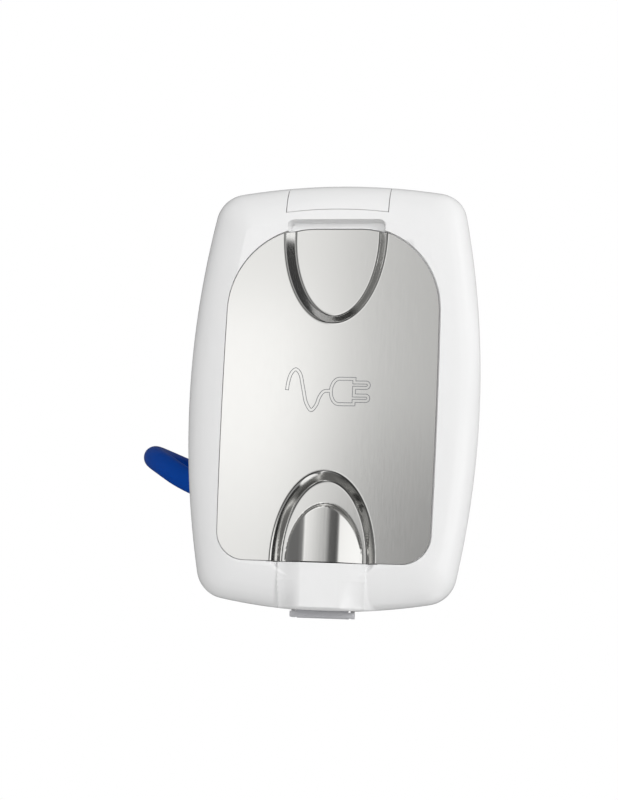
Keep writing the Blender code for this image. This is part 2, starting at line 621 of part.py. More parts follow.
def build_lid(lid_axis, white, steel_plate):
    shift = (0, -HINGE_Y, -HINGE_Z)
    lid = make_object("lid_shell", lid_loft(LID_PROFILE), white, lid_axis, shift)

    def form(name, shape):
        return make_object(name, shape, None, lid_axis, shift)

    def recess(name, outline, low_or_top, grow=0.0):
        rings = [at_depth(outline(extra, low_or_top), y) for extra, y in recess_levels(grow)]
        return form(name, loft(rings))

    combine(lid, recess("arch_recess", arch_outline, ARCH_END), "DIFFERENCE")
    combine(lid, recess("u_recess", u_outline, U_TOP), "DIFFERENCE")
    boss_levels = [ARCH_BASE - 0.0004, -0.085, -0.094, BOSS_END]
    boss = form("boss_form", hump(boss_levels, 0.0, LID_REAR))
    combine(lid, boss, "UNION")

    seat = form("plate_seat", loft([
        at_depth(plate_outline(PLATE_GAP), -0.020),
        at_depth(plate_outline(PLATE_GAP), PLATE_FACE + PLATE_THICKNESS + GAP),
    ]))
    combine(lid, seat, "DIFFERENCE")
    under = PLATE_THICKNESS + GAP + 0.0002
    u_under = form("u_under", loft([
        at_depth(u_outline(under, PLATE_TOP + PLATE_GAP), -0.020),
        at_depth(u_outline(under, PLATE_TOP + PLATE_GAP), -0.0118),
        at_depth(u_outline(under - 0.0007, PLATE_TOP + PLATE_GAP), -0.0108),
        at_depth(u_outline(under - RECESS_WALL, PLATE_TOP + PLATE_GAP), RECESS_FLOOR + under),
    ]))
    u_limit = form("u_limit", loft([
        at_depth(plate_outline(PLATE_GAP), -0.022), at_depth(plate_outline(PLATE_GAP), 0.0),
    ]))
    combine(u_under, u_limit, "INTERSECT")
    combine(lid, u_under, "DIFFERENCE")
    under_edge = PLATE_BOTTOM - PLATE_GAP - 0.0002
    arch_under = form("arch_under", loft([
        at_depth(arch_cut_outline(under, under_edge), -0.020),
        at_depth(arch_cut_outline(under, under_edge), -0.0118),
        at_depth(arch_cut_outline(under - 0.0007, under_edge), -0.0108),
        at_depth(arch_cut_outline(under - RECESS_WALL, under_edge), RECESS_FLOOR + under),
    ]))
    combine(lid, arch_under, "DIFFERENCE")

    cavity = form("lid_cavity", loft([
        at_depth(cavity_outline(0.0), 0.0), at_depth(cavity_outline(0.0), -0.0070),
        at_depth(cavity_outline(0.0060), -0.0090),
    ]))
    u_pad = form("u_pad", loft([
        at_depth(u_outline(0.0025, 0.090), -0.020), at_depth(u_outline(0.0010, 0.090), -0.0052),
    ]))
    arch_pad = form("arch_pad", loft([
        at_depth(arch_cut_outline(0.0025, -0.095), -0.020), at_depth(arch_cut_outline(0.0010, -0.095), -0.0052),
    ]))
    combine(cavity, u_pad, "DIFFERENCE")
    combine(cavity, arch_pad, "DIFFERENCE")
    combine(lid, cavity, "DIFFERENCE")
    tunnel_levels = [z - 0.0016 for z in HUMP_LEVELS[1:]] + [ARCH_BASE, -0.085, -0.094, BOSS_END - 0.002]
    tunnel = form("tunnel_form", hump(tunnel_levels, TUNNEL_WALL, 0.001))
    combine(lid, tunnel, "DIFFERENCE")
    notch = form("hinge_notch", hinge_side(KNUCKLE_GAP, KNUCKLE_HALF_WIDTH + KNUCKLE_GAP, -0.0185, 0.002))
    combine(lid, notch, "DIFFERENCE")
    reach = HINGE_PIN_HALF_LENGTH + 0.0008
    bore = form("lid_bore", rod((-reach, HINGE_Y, HINGE_Z), (reach, HINGE_Y, HINGE_Z), HINGE_PIN_RADIUS + GAP, 18))
    combine(lid, bore, "DIFFERENCE")

    plate = make_object("cover_plate", loft([
        at_depth(plate_outline(-0.0002), PLATE_FACE), at_depth(plate_outline(), PLATE_FACE + 0.0002),
        at_depth(plate_outline(), PLATE_FACE + PLATE_THICKNESS),
    ]), steel_plate, lid_axis, shift)
    plate_limit = form("plate_limit", loft([at_depth(plate_outline(), -0.022), at_depth(plate_outline(), 0.0)]))
    trays = (("u", u_outline, PLATE_TOP, 0.0780), ("arch", arch_cut_outline, PLATE_BOTTOM, -0.0770))
    for name, outline, edge, beyond in trays:
        outer = form(name + "_tray", loft([
            at_depth(outline(PLATE_THICKNESS, edge), PLATE_FACE + 0.0004),
            at_depth(outline(PLATE_THICKNESS - 0.0007, edge), -0.0110),
            at_depth(outline(PLATE_THICKNESS - RECESS_WALL, edge), RECESS_FLOOR + PLATE_THICKNESS),
        ]))
        combine(outer, plate_limit, "INTERSECT")
        combine(plate, outer, "UNION")
        combine(plate, recess(name + "_hollow", outline, beyond), "DIFFERENCE")
    levels = HUMP_LEVELS + [PLATE_BOTTOM]
    combine(plate, form("hump_form", hump(levels, 0.0, RECESS_FLOOR + 0.0008)), "UNION")
    levels = [z - 0.0014 for z in HUMP_LEVELS] + [PLATE_BOTTOM - 0.002]
    combine(plate, form("hump_hollow", hump(levels, PLATE_THICKNESS, -0.004)), "DIFFERENCE")
    return lid


def cavity_outline(inset):
    """Hollow behind the lid; the top stays solid for the hinge."""
    wall = 0.0026
    return [(x, min(z, 0.0800 - inset)) for x, z in lid_outline(wall + inset)]


def build_hinge(centre, steel):
    ends = [(side * HINGE_PIN_HALF_LENGTH, HINGE_Y, HINGE_Z) for side in (-1, 1)]
    make_object("hinge_pin", rod(ends[0], ends[1], HINGE_PIN_RADIUS), steel, centre)
    turns = 7
    steps = turns * 8
    points = []
    for i in range(steps + 1):
        angle = 2 * math.pi * i / 8
        points.append((
            -0.0080 + 0.0160 * i / steps, HINGE_Y + 0.0022 * math.cos(angle), HINGE_Z + 0.0022 * math.sin(angle),
        ))
    tube("lid_spring", points, 0.0004, steel, centre, resolution=0)


def tube(name, points, radius, finish, parent, resolution=2, cyclic=False):
    curve = bpy.data.curves.new(name, "CURVE")
    curve.dimensions = "3D"
    curve.bevel_depth = radius
    curve.bevel_resolution = resolution
    curve.render_resolution_u = 0
    curve.use_fill_caps = True
    spline = curve.splines.new("POLY")
    spline.points.add(len(points) - 1)
    for slot, point in zip(spline.points, points):
        slot.co = (*point, 1.0)
    spline.use_cyclic_u = cyclic
    curve.materials.append(finish)
    result = bpy.data.objects.new(name, curve)
    bpy.context.scene.collection.objects.link(result)
    result.parent = parent
    return result


def build_flap(lid_axis, grey, steel):
    """Flap that closes the mouth of the cable tunnel, hung at its rear edge between two lugs."""
    shift = (0, -HINGE_Y, -HINGE_Z)
    lid = bpy.data.objects["lid_shell"]
    flap_axis = make_empty("flap_axis", (0, FLAP_Y - HINGE_Y, FLAP_Z - HINGE_Z), lid_axis)
    profile = [(-FLAP_LENGTH, 0.0010), (-FLAP_LENGTH, 0.0004), (-0.0008, -0.0009)]
    profile += arc((0, 0), 0.0011, -110, 75, 6)
    flap = make_object("cable_flap", prism(profile, -FLAP_HALF_WIDTH, FLAP_HALF_WIDTH), grey, flap_axis)
    for name, side in (("left", -1), ("right", 1)):
        inner, outer = sorted((side * 0.0124, side * 0.0160))
        notch = make_object("flap_notch_" + name, block((inner, -0.0016, -0.004), (outer, 0.004, 0.004)),
                            None, flap_axis)
        combine(flap, notch, "DIFFERENCE")
        inner, outer = sorted((side * 0.0127, side * 0.0143))
        lug = make_object("flap_lug_" + name, block(
            (inner, FLAP_Y - 0.0009, FLAP_Z - 0.0009), (outer, FLAP_Y + 0.0009, BOSS_END + 0.0023),
        ), None, lid_axis, shift)
        combine(lid, lug, "UNION")
    flap_bore = make_object("flap_bore", rod((-0.016, 0, 0), (0.016, 0, 0), 0.0006, 8), None, flap_axis)
    combine(flap, flap_bore, "DIFFERENCE")
    ends = [(side * 0.016, FLAP_Y, FLAP_Z) for side in (-1, 1)]
    combine(lid, make_object("lug_bore", rod(ends[0], ends[1], 0.0006, 8), None, lid_axis, shift), "DIFFERENCE")
    ends = [(side * 0.0140, FLAP_Y, FLAP_Z) for side in (-1, 1)]
    make_object("flap_pin", rod(ends[0], ends[1], 0.0003, 8), steel, lid_axis, shift)


def smooth_route(route, step):
    """Even points on a Catmull-Rom curve through the route's own points."""
    points = [Vector(point) for point in route]
    points = [2 * points[0] - points[1]] + points + [2 * points[-1] - points[-2]]
    dense = []
    for i in range(1, len(points) - 2):
        a, b, c, d = points[i - 1:i + 3]
        for j in range(20):
            t = j / 20
            dense.append(0.5 * (2 * b + (c - a) * t + (2 * a - 5 * b + 4 * c - d) * t * t
                                + (3 * b - 3 * c + d - a) * t ** 3))
    dense.append(points[-2])
    result = [dense[0]]
    gone = 0.0
    for before, point in zip(dense, dense[1:]):
        gone += (point - before).length
        if gone >= step:
            result.append(point)
            gone = 0.0
    if (result[-1] - dense[-1]).length < step / 2:
        result.pop()
    result.append(dense[-1])
    return result


def coil_point(angle, offset=0.0, radius=COIL_RADIUS):
    """Point of the leaning coil; offset runs along its axis, away from the box."""
    across = Vector((1, 0, 0))
    up = Vector((0, -math.sin(COIL_LEAN), math.cos(COIL_LEAN)))
    axis = Vector((0, math.cos(COIL_LEAN), math.sin(COIL_LEAN)))
    turn = across * math.cos(angle) + up * math.sin(angle)
    return Vector(COIL_CENTRE) + turn * radius + axis * offset


LEAD_ROUTE = (
    (-0.0663, 0.0620, -0.0370), (-0.0720, 0.0620, -0.0368), (-0.0800, 0.0628, -0.0345),
    (-0.0885, 0.0650, -0.0295), (-0.0970, 0.0695, -0.0225), (-0.1050, 0.0770, -0.0150),
    (-0.1110, 0.0870, -0.0090), (-0.1140, 0.0985, -0.0060), (-0.1135, 0.1100, -0.0065),
    (-0.1095, 0.1205, -0.0105), (-0.1030, 0.1280, -0.0165),
)


def build_cable(centre, blue, grey, copper):
    tube("cable", smooth_route(LEAD_ROUTE, 0.006), CABLE_DIAMETER / 2, blue, centre, resolution=3)
    half = CABLE_DIAMETER / 2 + 0.0002
    section = [
        (COIL_RADIUS - half, -COIL_HALF_DEPTH + 0.003), (COIL_RADIUS - half + 0.003, -COIL_HALF_DEPTH),
        (COIL_RADIUS + half - 0.003, -COIL_HALF_DEPTH), (COIL_RADIUS + half, -COIL_HALF_DEPTH + 0.003),
        (COIL_RADIUS + half, COIL_HALF_DEPTH - 0.003), (COIL_RADIUS + half - 0.003, COIL_HALF_DEPTH),
        (COIL_RADIUS - half + 0.003, COIL_HALF_DEPTH), (COIL_RADIUS - half, COIL_HALF_DEPTH - 0.003),
    ]
    coil = make_object("cable_coil", turned(section, 24), blue, centre)
    coil.location = COIL_CENTRE
    coil.rotation_euler = (-math.pi / 2 + COIL_LEAN, 0, 0)
    up = coil_point(math.pi / 2) - Vector(COIL_CENTRE)
    up.normalize()
    start = coil_point(0, COIL_HALF_DEPTH - half + 0.0) + Vector((0.0120, 0, 0))
    tail = [start + up * (0.004 + 0.006 * i) for i in range(8)]
    tube("cable_tail", tail, CABLE_DIAMETER / 2, blue, centre, resolution=3)
    for number, name in enumerate(("live_core", "neutral_core", "earth_core")):
        side = Vector((math.cos(2.1 * number), 0, 0)) * 0.0027
        depth = coil_point(0, 0.0027 * math.sin(2.1 * number)) - coil_point(0)
        core = [tail[-1] + side + depth + up * (GAP + 0.006 * i) for i in range(5)]
        tube(name, core, 0.0016, copper[number], centre, resolution=2)
    loop = []
    for i in range(4):
        here = Vector(TIE_CORNERS[i])
        after = Vector(TIE_CORNERS[(i + 1) % 4])
        for share in (0.12, 0.37, 0.63, 0.88):
            loop.append(here.lerp(after, share))
    tube("cable_tie", loop, 0.0009, grey, centre, resolution=1, cyclic=True)


TIE_CORNERS = ((-0.034, 0.0906, 0.0300), (-0.034, 0.0906, 0.0660), (-0.034, 0.1300, 0.0850),
               (-0.034, 0.1380, 0.0650))


def main():
    clear_scene()
    white = make_material("white_plastic", (0.86, 0.86, 0.86), 0.22)
    plate_steel = make_material("stainless_steel", (0.72, 0.71, 0.69), 0.22, 1.0)
    steel = make_material("zinc_steel", (0.62, 0.62, 0.63), 0.35, 1.0)
    brass = make_material("nickel_brass", (0.70, 0.64, 0.50), 0.25, 1.0)
    rubber = make_material("black_rubber", (0.03, 0.03, 0.03), 0.75)
    grey = make_material("grey_plastic", (0.35, 0.36, 0.37), 0.45)
    silver = make_material("silver_plastic", (0.55, 0.55, 0.56), 0.35)
    blue = make_material("blue_plastic", (0.01, 0.12, 0.52), 0.4)
    cable_blue = make_material("blue_rubber", (0.01, 0.07, 0.35), 0.5)
    orange = make_material("orange_plastic", (0.8, 0.25, 0.03), 0.4)
    cores = (
        make_material("brown_core", (0.16, 0.06, 0.02), 0.5), make_material("blue_core", (0.02, 0.1, 0.5), 0.5),
        make_material("green_core", (0.12, 0.35, 0.03), 0.5),
    )
    centre = make_empty("centre", (0, 0, CENTRE_HEIGHT))
    lid_axis = make_empty("lid_axis", (0, HINGE_Y, HINGE_Z), centre)
    build_base(centre, white, rubber, steel)
    build_inlet(centre, blue, brass, rubber, steel, orange)
    build_rear(centre, grey, steel)
    build_gland(centre, grey)
    build_lid(lid_axis, white, plate_steel)
    build_hinge(centre, steel)
    build_flap(lid_axis, silver, steel)
    build_cable(centre, cable_blue, grey, cores)


main()
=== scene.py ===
"""Recessed mains power inlet for a caravan wall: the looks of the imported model."""

import json
import math

import bmesh
import bpy
from mathutils import Matrix, Vector

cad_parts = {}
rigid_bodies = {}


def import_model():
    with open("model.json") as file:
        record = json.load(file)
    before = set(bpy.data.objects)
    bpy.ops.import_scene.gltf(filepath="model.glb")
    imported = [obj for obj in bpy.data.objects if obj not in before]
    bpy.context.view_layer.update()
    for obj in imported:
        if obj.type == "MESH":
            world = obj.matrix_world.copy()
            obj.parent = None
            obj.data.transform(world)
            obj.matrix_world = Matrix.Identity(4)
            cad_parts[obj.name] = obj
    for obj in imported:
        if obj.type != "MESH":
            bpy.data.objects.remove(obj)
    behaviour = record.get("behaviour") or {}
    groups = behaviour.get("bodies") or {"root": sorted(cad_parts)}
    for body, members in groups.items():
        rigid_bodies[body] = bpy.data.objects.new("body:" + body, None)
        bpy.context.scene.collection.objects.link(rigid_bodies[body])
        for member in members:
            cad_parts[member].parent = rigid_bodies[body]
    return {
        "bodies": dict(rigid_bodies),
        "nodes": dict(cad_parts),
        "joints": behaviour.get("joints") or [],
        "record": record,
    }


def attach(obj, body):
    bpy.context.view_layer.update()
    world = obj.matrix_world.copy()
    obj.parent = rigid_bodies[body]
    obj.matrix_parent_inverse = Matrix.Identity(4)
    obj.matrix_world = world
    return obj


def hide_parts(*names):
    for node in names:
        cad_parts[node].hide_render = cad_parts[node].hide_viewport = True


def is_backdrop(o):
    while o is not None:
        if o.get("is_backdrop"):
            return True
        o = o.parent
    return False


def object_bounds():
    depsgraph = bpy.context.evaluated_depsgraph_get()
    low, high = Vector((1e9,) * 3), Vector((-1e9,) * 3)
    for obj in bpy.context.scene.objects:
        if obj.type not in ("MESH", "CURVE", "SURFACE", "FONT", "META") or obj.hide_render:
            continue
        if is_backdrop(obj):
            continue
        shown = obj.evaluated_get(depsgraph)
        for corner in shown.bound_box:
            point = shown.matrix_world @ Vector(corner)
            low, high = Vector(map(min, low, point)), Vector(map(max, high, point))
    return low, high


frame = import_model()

cad_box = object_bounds()

CENTRE_HEIGHT = 0.080
CENTRE = Vector((0.0, 0.0, CENTRE_HEIGHT))

# Camera, found from the lid's outline
CAMERA_AZIMUTH = math.radians(12.0)
CAMERA_ELEVATION = math.radians(-8.0)
CAMERA_DISTANCE = 0.946
CAMERA_ROLL = math.radians(2.52)
CAMERA_LENS = 93.8
CAMERA_SHIFT = (-0.0321, -0.0022)

# Lead
LEAD_DIAMETER = 0.0114
COIL_CENTRE = (-0.0340, 0.1368, 0.0080)
COIL_RADIUS = 0.0570
COIL_LEAN = math.radians(25)
COIL_UP = Vector((0, -math.sin(COIL_LEAN), math.cos(COIL_LEAN)))
COIL_AXIS = Vector((0, math.cos(COIL_LEAN), math.sin(COIL_LEAN)))
COIL_REACH = 0.0135
COIL_START = math.radians(255)
COIL_END = math.radians(1080)
TAIL_OUT = 0.0120
TAIL_LENGTH = 0.0400
# Out of the gland, round beside the flange and back to the far side of the coil
LEAD_ROUTE = (
    (-0.0663, 0.0620, -0.0370), (-0.0755, 0.0625, -0.0360), (-0.0890, 0.0665, -0.0305),
    (-0.1015, 0.0755, -0.0235), (-0.1100, 0.0890, -0.0190), (-0.1135, 0.1055, -0.0170),
    (-0.1120, 0.1225, -0.0175), (-0.1055, 0.1385, -0.0200), (-0.0945, 0.1520, -0.0235),
    (-0.0800, 0.1625, -0.0280), (-0.0640, 0.1695, -0.0325),
)
RING_STEPS = 32


def mesh_object(name, shape):
    """Object in the scene from a bmesh, which it uses up."""
    mesh = bpy.data.meshes.new(name)
    shape.to_mesh(mesh)
    shape.free()
    result = bpy.data.objects.new(name, mesh)
    bpy.context.scene.collection.objects.link(result)
    return result


def join_rings(shape, rings, closed=False):
    """Faces between neighbouring rings of equal length, and from the last to the first if closed."""
    loops = [[shape.verts.new(point) for point in ring] for ring in rings]
    count = len(loops[0])
    for low, high in zip(loops, loops[1:] + (loops[:1] if closed else [])):
        for i in range(count):
            j = (i + 1) % count
            shape.faces.new((low[i], low[j], high[j], high[i]))
    return loops


def loft(rings):
    """Closed solid through rings."""
    shape = bmesh.new()
    loops = join_rings(shape, rings)
    shape.faces.new(loops[0])
    shape.faces.new(loops[-1])
    return shape


def hoop(rings):
    """Solid whose last ring joins its first."""
    shape = bmesh.new()
    join_rings(shape, rings, closed=True)
    return shape


def make_camera():
    data = bpy.data.cameras.new("camera")
    camera = bpy.data.objects.new("camera", data)
    bpy.context.scene.collection.objects.link(camera)
    away = Vector((
        math.sin(CAMERA_AZIMUTH) * math.cos(CAMERA_ELEVATION),
        -math.cos(CAMERA_AZIMUTH) * math.cos(CAMERA_ELEVATION), math.sin(CAMERA_ELEVATION),
    ))
    camera.location = CENTRE + away * CAMERA_DISTANCE
    aim = (-away).to_track_quat("-Z", "Y")
    camera.rotation_mode = "QUATERNION"
    camera.rotation_quaternion = aim @ Matrix.Rotation(CAMERA_ROLL, 3, "Z").to_quaternion()
    data.lens = CAMERA_LENS
    data.sensor_width = 36
    data.shift_x, data.shift_y = CAMERA_SHIFT
    data.clip_start = 0.05
    data.clip_end = 50
    bpy.context.scene.camera = camera


def coil_point(angle, offset=0.0, radius=COIL_RADIUS):
    """Point of the leaning coil; offset runs along its axis, away from the box."""
    turn = Vector((1, 0, 0)) * math.cos(angle) + COIL_UP * math.sin(angle)
    return Vector(COIL_CENTRE) + turn * radius + COIL_AXIS * offset


def smooth_points(route, steps=12):
    """Catmull-Rom curve through the points of a route."""
    points = [Vector(point) for point in route]
    points = [2 * points[0] - points[1]] + points + [2 * points[-1] - points[-2]]
    dense = []
    for i in range(1, len(points) - 2):
        a, b, c, d = points[i - 1:i + 3]
        for j in range(steps):
            t = j / steps
            dense.append(0.5 * (2 * b + (c - a) * t + (2 * a - 5 * b + 4 * c - d) * t * t
                                + (3 * b - 3 * c + d - a) * t ** 3))
    dense.append(points[-2])
    return dense


def even_points(points, step):
    """The same line with its points a step apart."""
    result = [points[0]]
    gone = 0.0
    for before, point in zip(points, points[1:]):
        length = (point - before).length
        while gone + length >= step:
            share = (step - gone) / length
            before = before.lerp(point, share)
            length = (point - before).length
            result.append(before)
            gone = 0.0
        gone += length
    if (result[-1] - points[-1]).length < step / 2:
        result.pop()
    result.append(points[-1])
    return result


def lead_points():
    """The whole lead: its route, the turns of the coil from its far side to its near side, and the tail."""
    coil = []
    steps = 56
    for i in range(steps + 1):
        share = i / steps
        angle = COIL_START + (COIL_END - COIL_START) * share
        late = max(0.0, (angle - (COIL_END - math.pi)) / math.pi)
        grow = TAIL_OUT * late * late * (3 - 2 * late)
        coil.append(coil_point(angle, COIL_REACH * (1 - 2 * share), COIL_RADIUS + grow))
    tail = [coil[-1] + COIL_UP * (TAIL_LENGTH * share) for share in (0.25, 0.5, 0.75, 1.0)]
    return [point + CENTRE for point in even_points(smooth_points([*LEAD_ROUTE, *coil, *tail]), 0.003)]


def sweep_tube(name, points, section):
    """Closed tube: the section, a list of (across, up) places, is carried along the points without twist."""
    side = Vector((0, 0, 1)).cross(points[1] - points[0])
    if side.length < 1e-6:
        side = Vector((1, 0, 0))
    side.normalize()
    rings = []
    for number, point in enumerate(points):
        before = points[max(number - 1, 0)]
        after = points[min(number + 1, len(points) - 1)]
        along = (after - before).normalized()
        side = (side - along * side.dot(along)).normalized()
        rise = along.cross(side)
        rings.append([point + side * a + rise * b for a, b in section])
    shape = loft(rings)
    bmesh.ops.recalc_face_normals(shape, faces=shape.faces)
    return mesh_object(name, shape)


def circle(radius, steps=RING_STEPS):
    turns = [2 * math.pi * i / steps for i in range(steps)]
    return [(radius * math.cos(turn), radius * math.sin(turn)) for turn in turns]


def path_length(points):
    return sum((b - a).length for a, b in zip(points, points[1:]))


make_camera()
lead_path = lead_points()
lead = sweep_tube("mains_lead", lead_path, circle(LEAD_DIAMETER / 2))
for face in lead.data.polygons:
    face.use_smooth = len(face.vertices) == 4
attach(lead, "base")
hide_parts("cable", "cable_coil", "cable_tail")


def new_node(tree, kind, **values):
    """Node with some inputs set; an underscore in an input's name stands for a space."""
    node = tree.nodes.new(kind)
    for name, value in values.items():
        node.inputs[name.replace("_", " ")].default_value = value
    return node


class Finish:
    """Small helper that builds one procedural material."""

    def __init__(self, name, colour, roughness, metallic=0.0):
        self.material = bpy.data.materials.new(name)
        self.material.use_nodes = True
        self.tree = self.material.node_tree
        self.shader = self.tree.nodes["Principled BSDF"]
        self.set("Base Color", (*colour, 1.0))
        self.set("Roughness", roughness)
        self.set("Metallic", metallic)
        self.place = self.tree.nodes.new("ShaderNodeTexCoord").outputs["Object"]
        self.height = None

    def set(self, socket, value):
        self.shader.inputs[socket].default_value = value

    def link(self, output, socket):
        self.tree.links.new(output, socket)

    def noise(self, scale, detail=3.0, stretch=(1, 1, 1), roughness=0.55):
        mapping = new_node(self.tree, "ShaderNodeMapping", Scale=stretch)
        self.link(self.place, mapping.inputs["Vector"])
        node = new_node(self.tree, "ShaderNodeTexNoise", Scale=scale, Detail=detail, Roughness=roughness)
        self.link(mapping.outputs["Vector"], node.inputs["Vector"])
        return node.outputs["Fac"]

    def span(self, value, low, high, start=0.3, end=0.7):
        limits = dict(From_Min=start, From_Max=end, To_Min=low, To_Max=high)
        node = new_node(self.tree, "ShaderNodeMapRange", **limits)
        self.link(value, node.inputs["Value"])
        return node.outputs["Result"]

    def mix(self, factor, first, second):
        node = self.tree.nodes.new("ShaderNodeMix")
        node.data_type = "RGBA"
        for socket, value in ((node.inputs[6], first), (node.inputs[7], second)):
            if isinstance(value, tuple):
                socket.default_value = (*value, 1.0)
            else:
                self.link(value, socket)
        self.link(factor, node.inputs[0])
        return node.outputs[2]

    def feed(self, socket, output):
        self.link(output, self.shader.inputs[socket])

    def bump(self, value, strength, distance):
        node = new_node(self.tree, "ShaderNodeBump", Strength=strength, Distance=distance)
        self.link(value, node.inputs["Height"])
        if self.height:
            self.link(self.height, node.inputs["Normal"])
        self.height = node.outputs["Normal"]
        self.feed("Normal", self.height)


def moulded(name, colour, roughness, variation=0.03, texture=0.00003, coat=0.0, sheen=0.5):
    """Moulded plastic: a faint cloudiness, fine surface texture and uneven gloss."""
    finish = Finish(name, colour, roughness)
    darker = tuple(channel * (1 - variation) for channel in colour)
    finish.feed("Base Color", finish.mix(finish.noise(22.0), darker, colour))
    finish.feed("Roughness", finish.span(finish.noise(60.0, 4.0), roughness * 0.85, roughness * 1.2))
    finish.bump(finish.noise(1600.0, 2.0), 0.25, texture)
    finish.set("Specular IOR Level", sheen)
    if coat:
        finish.set("Coat Weight", coat)
        finish.set("Coat Roughness", 0.06)
    return finish.material


def metal(name, colour, roughness, stretch=(1, 1, 1), grain=900.0, strength=0.2):
    """Metal with a grain along one direction."""
    finish = Finish(name, colour, roughness, 1.0)
    darker = tuple(channel * 0.94 for channel in colour)
    fine = finish.noise(grain, 3.0, stretch)
    finish.feed("Base Color", finish.mix(fine, darker, colour))
    finish.feed("Roughness", finish.span(fine, roughness * 0.85, roughness * 1.2))
    finish.bump(fine, strength, 0.00001)
    return finish.material


def make_finishes():
    return {
        "white_plastic": moulded("white_plastic_look", (0.835, 0.835, 0.835), 0.20, 0.015, 0.00001, 0.3),
        "stainless_steel": metal(
            "stainless_look", (0.80, 0.795, 0.775), 0.11, (1.0, 1.0, 0.10), 1800.0, 0.015,
        ),
        "zinc_steel": metal("zinc_look", (0.62, 0.62, 0.64), 0.34),
        "nickel_brass": metal("brass_look", (0.72, 0.60, 0.38), 0.24),
        "black_rubber": moulded("rubber_look", (0.025, 0.025, 0.027), 0.65, 0.25, 0.00008),
        "grey_plastic": moulded("grey_look", (0.20, 0.205, 0.215), 0.42, 0.08, 0.00006),
        "silver_plastic": moulded("silver_look", (0.52, 0.52, 0.54), 0.34, 0.05, 0.00003),
        "blue_plastic": moulded("blue_look", (0.008, 0.10, 0.50), 0.32, 0.08, 0.00004),
        "blue_rubber": moulded("lead_look", (0.0002, 0.060, 0.38), 0.34, 0.08, 0.00004, sheen=0.10),
        "orange_plastic": moulded("orange_look", (0.80, 0.22, 0.02), 0.32, 0.06, 0.00004),
        "brown_core": moulded("brown_look", (0.15, 0.055, 0.02), 0.38, 0.08, 0.00004),
        "blue_core": moulded("blue_core_look", (0.02, 0.13, 0.55), 0.38, 0.08, 0.00004),
        "green_core": moulded("green_look", (0.13, 0.36, 0.03), 0.38, 0.08, 0.00004),
    }


finishes = make_finishes()


def dress(piece, slot_name):
    """Gives a piece one finish and names its slot."""
    piece.data.materials.clear()
    piece.data.materials.append(finishes[slot_name])


dress(lead, "blue_rubber")
for node in frame["nodes"].values():
    for slot in node.material_slots:
        original = slot.material.name if slot.material else ""
        for key, look in finishes.items():
            if original.startswith(key):
                slot.material = look


# Sizes in metres, from the lid's centre
LID_HALF_WIDTH = 0.067
LID_SIDE_BOW = 0.0112
LID_TOP = 0.0974
LID_TOP_BOW = 0.0076
LID_BOTTOM = -0.0966
LID_BOTTOM_BOW = 0.0087
LID_CORNER = 0.0142
LID_MIDDLE = -0.0013
BOW_SPAN = 0.095
LID_FRONT = -0.0130
LID_REAR = -0.0036
LID_PROFILE = (
    (0.0, LID_REAR), (0.0004, -0.0056), (0.0018, -0.0078), (0.0042, -0.0097),
    (0.0072, -0.0110), (0.0105, -0.0119), (0.0145, -0.0126), (0.0178, LID_FRONT),
)
PLATE_HALF_WIDTH = 0.0492
PLATE_SIDE_BOW = 0.0015
PLATE_TOP = 0.0765
PLATE_BOTTOM = -0.0751
PLATE_TOP_CORNER = 0.0386
PLATE_BOTTOM_CORNER = 0.013
PLATE_FACE = -0.0126
PLATE_THICKNESS = 0.0011
PLATE_GAP = 0.00035
PLATE_SLACK = 0.0006
PLATE_DROP = 0.0003
RECESS_FLOOR = -0.0087
RECESS_WALL = 0.0040
RECESS_LIP = 0.0001
RECESS_FILLET = 0.11
U_HALF_WIDTH = 0.0235
U_TOP = 0.0800
U_SHOULDER = 0.0735
U_TIP = 0.0324
TOP_WALL = 0.0007
TOP_END_HALF_WIDTH = 0.0224
TOP_END_CORNER = 0.0030
ARCH_HALF_WIDTH = 0.0235
ARCH_TOP = -0.0347
ARCH_BASE = -0.0750
ARCH_END = -0.0835
HUMP_HALF_WIDTH = 0.0173
HUMP_TOP = -0.0488
HUMP_SHOULDER = 0.0020
HUMP_FRONT = -0.0148
HUMP_HEIGHT = RECESS_FLOOR - HUMP_FRONT
HUMP_BLEND = 0.0008
CREST_START = 0.42
HUMP_CROWN = 0.27
# Slopes of the hump's facets in degrees, from its left to its right side
CROWN_SLOPES = (
    (-0.0180, -32), (-0.0140, -27), (-0.0079, -6), (-0.0072, -1.5), (0.0020, 1.5), (0.0026, 5), (0.0074, 18),
    (0.0081, 21), (0.0120, 27), (0.0180, 33),
)
FACET_STEPS = 6
BOSS_CROWN = 0.60
BOSS_CHANGE = 0.008
BOSS_END_HALF_WIDTH = 0.0150
BOSS_HALF_WIDTH = 0.0200
BOSS_FOOT_HALF_WIDTH = 0.0195
BOSS_FLAT = 0.0085
BOSS_SHOULDER = 0.0020
BOSS_FALL = 0.0040
BOSS_END = -0.0974
BOSS_FOOT_SLOPE = 3.0
BOSS_FOOT_EASING = 2.1
BOSS_LIP = 0.0022
BOSS_LIP_DEPTH = 0.004
BOSS_BLEND = 0.0014
BOSS_FOOT_BLEND = 0.0016
